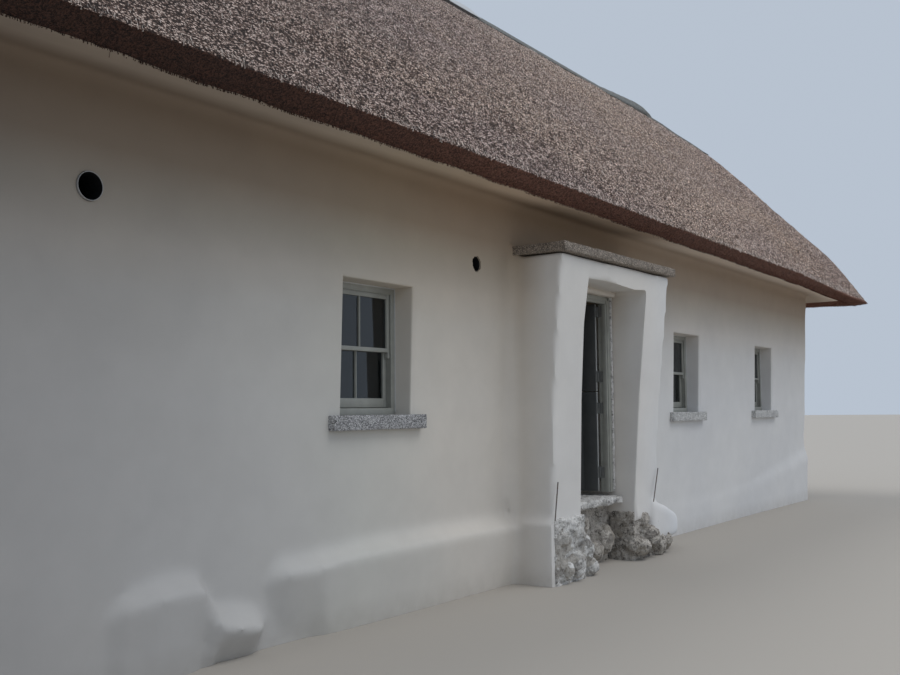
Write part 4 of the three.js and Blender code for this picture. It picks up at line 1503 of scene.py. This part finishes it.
def build_hinge(node, body, steel):
    """Five knuckles on a pin with a screwed plate."""
    low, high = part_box(node)
    tall = (high.z - low.z) / 5
    knuckles = []
    for i in range(5):
        centre = (HINGE_X, HINGE_Y, low.z + tall * (i + 0.5))
        knuckle = rod(f"{node}_knuckle_{i}", centre, 0.0078, tall - 0.0008, sides=20)
        knuckles.append(chamfer(knuckle, 0.0012, 2, 60))
    centre = (HINGE_X, HINGE_Y, (low.z + high.z) / 2)
    pin = rod(f"{node}_pin", centre, 0.0035, high.z - low.z - 0.001, sides=12)
    chamfer(pin, 0.001, 1, 60)
    plate = block(f"{node}_plate", (low.x, HINGE_Y + 0.0045, low.z), (HINGE_X, HINGE_Y + 0.0075, high.z))
    plate = chamfer(plate, 0.001, 1)
    screws = []
    for i in range(3):
        centre = (low.x + 0.016, HINGE_Y + 0.0042, low.z + (high.z - low.z) * (0.2 + 0.3 * i))
        screws.append(rod(f"{node}_screw_{i}", centre, 0.0042, 0.0022, ALONG_Y, sides=14))
    hinge = gather([*knuckles, pin, plate, *screws], node + "_steel")
    dress(smooth(hinge, 35), steel, body=body, nodes=(node,))


def build_jamb_flaps(steel):
    """The hinges' fixed flaps, screwed to the right jamb."""
    flaps = []
    for leaf_name in LEAVES:
        for end_name in HINGE_ENDS:
            low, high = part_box(f"{leaf_name}_{end_name}_hinge")
            flap = block("flap", (0.498, -2.637, low.z), (0.503, -2.5925, high.z))
            flaps.append(chamfer(flap, 0.0015, 2))
            for i, y in enumerate((-2.627, -2.612, -2.627)):
                z = low.z + (high.z - low.z) * (0.2 + 0.3 * i)
                flaps.append(rod("screw", (0.4986, y, z), 0.004, 0.002, (0, math.pi / 2, 0), sides=14))
    flap_piece = gather(flaps, "jamb_flaps")
    dress(smooth(flap_piece, 35), steel)


def build_duct(finish, painted_shade_finish):
    """A thin pipe through the wall with a rolled rim at its mouth and a near-black lining, painted shade
    inside the pipe.
    """
    low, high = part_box("vent_duct")
    x, z = (low.x + high.x) / 2, (low.z + high.z) / 2
    radius = (high.x - low.x) / 2
    middle, length = (low.y + high.y) / 2, high.y - low.y
    pipe = rod("duct_pipe", (x, middle, z), radius - 0.001, length, ALONG_Y, 64, "NOTHING")
    work(pipe, "SOLIDIFY", thickness=0.0015, offset=-1)
    deselect()
    bpy.ops.mesh.primitive_torus_add(
        major_radius=radius - 0.0022, minor_radius=0.0021, major_segments=64, minor_segments=10,
        location=(x, low.y + 0.0023, z), rotation=ALONG_Y)
    rim = settle(bpy.context.object, "duct_rim")
    duct = gather([pipe, rim], "duct_pipe_and_rim")
    dress(smooth(duct, 40), finish, nodes=("vent_duct",))
    lining = rod(
        "duct_lining", (x, middle + 0.003, z), radius - 0.0028, length - 0.006, ALONG_Y, 64, "NOTHING")
    work(lining, "SOLIDIFY", thickness=0.001, offset=-1)
    dress(smooth(lining, 40), painted_shade_finish)


def paint_nodes(names, finish):
    """A better material for CAD nodes whose shape stays."""
    for name in names:
        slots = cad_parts[name].material_slots
        if not slots:
            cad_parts[name].data.materials.append(finish)
        for place in slots:
            place.material = finish


build_camera()
build_studio()

SLOPE = math.atan2(RIDGE_Z - EAVES_LIP_Z, EAVES_LIP_V)
HIP_SLOPE = math.atan2(RIDGE_Z - EAVES_LIP_Z, EAVES_LIP_X - RIDGE_HALF)
PLASTER = lime_plaster()
COATS = {
    "front_slope": reed_thatch("reed_thatch_front", (SLOPE, 0, 0), (1.6, 1, 1)),
    "back_slope": reed_thatch("reed_thatch_back", (-SLOPE, 0, 0), (1.6, 1, 1)),
    "left_hip": reed_thatch("reed_thatch_left", (0, -HIP_SLOPE, 0), (1, 1.6, 1)),
    "right_hip": reed_thatch("reed_thatch_right", (0, HIP_SLOPE, 0), (1, 1.6, 1)),
}
# The eaves' underside reed, painted dark as shade.
SHADED_UNDERSIDE = shaded_reed()
BUTTS = cut_reed_ends()
JOINERY = grey_paint("grey_joinery_paint", (0.335, 0.34, 0.31))
LEAF_PAINT = grey_paint("dark_grey_leaf_paint", (0.075, 0.08, 0.082))
GLASS = window_glass()
SILL_GRANITE = granite("sill_granite", (0.36, 0.36, 0.365), (0.10, 0.10, 0.105), 160.0, 1.7)
PALE_GRANITE = granite("pale_sill_granite", (0.52, 0.52, 0.51), (0.24, 0.24, 0.245), 160.0, 1.5)
CAP_GRANITE = granite("cap_granite", (0.225, 0.192, 0.16), (0.115, 0.096, 0.078), 160.0, 2.2)
PALE_RUBBLE = rubble("pale_rubble", (0.68, 0.67, 0.65), (0.20, 0.19, 0.18))
BROWN_RUBBLE = rubble("brown_rubble", (0.50, 0.465, 0.42), (0.07, 0.06, 0.05))
LEAF_EDGE = grey_paint("light_leaf_edge_paint", (0.56, 0.57, 0.56))
CAULK = grey_paint("light_caulk", (0.52, 0.53, 0.53))
STEEL = dull_steel("hinge_steel", (0.20, 0.205, 0.20), 0.3)
BAR_STEEL = dull_steel("bar_steel", (0.16, 0.155, 0.15), 0.5, 0.8)
DUCT_GREY = dull_steel("duct_metal", (0.42, 0.42, 0.42), 0.3)
# Near black: painted shade inside the duct and the hole.
PAINTED_SHADE_LINING = dull_steel("duct_lining", (0.012, 0.012, 0.013), 0.0)

build_plaster(PLASTER)
build_hole_lining(PAINTED_SHADE_LINING)
HIP_BANDS = build_thatch(COATS, SHADED_UNDERSIDE, BUTTS)
DARK_BOARD = sawn_board("dark_board", (0.06, 0.052, 0.048))
PALE_SHEET = sawn_board("pale_sheet", (0.62, 0.64, 0.66))
build_ridge(HIP_BANDS, ridge_netting(), DARK_BOARD, PALE_SHEET)
build_sills(SILL_GRANITE, PALE_GRANITE)
build_cap(CAP_GRANITE)
build_footings(PALE_RUBBLE, BROWN_RUBBLE)
build_frame_packing(PALE_RUBBLE, PLASTER)
build_windows(JOINERY, GLASS, CAULK)
build_door_frame(JOINERY)
for leaf_name in LEAVES:
    build_leaf(leaf_name, LEAF_PAINT, LEAF_EDGE)
    for end_name in HINGE_ENDS:
        build_hinge(f"{leaf_name}_{end_name}_hinge", leaf_name, STEEL)
build_jamb_flaps(STEEL)
build_duct(DUCT_GREY, PAINTED_SHADE_LINING)
paint_nodes(["floor_slab"], concrete())
paint_nodes(["starter_bar_left", "starter_bar_right"], BAR_STEEL)

bpy.context.view_layer.update()
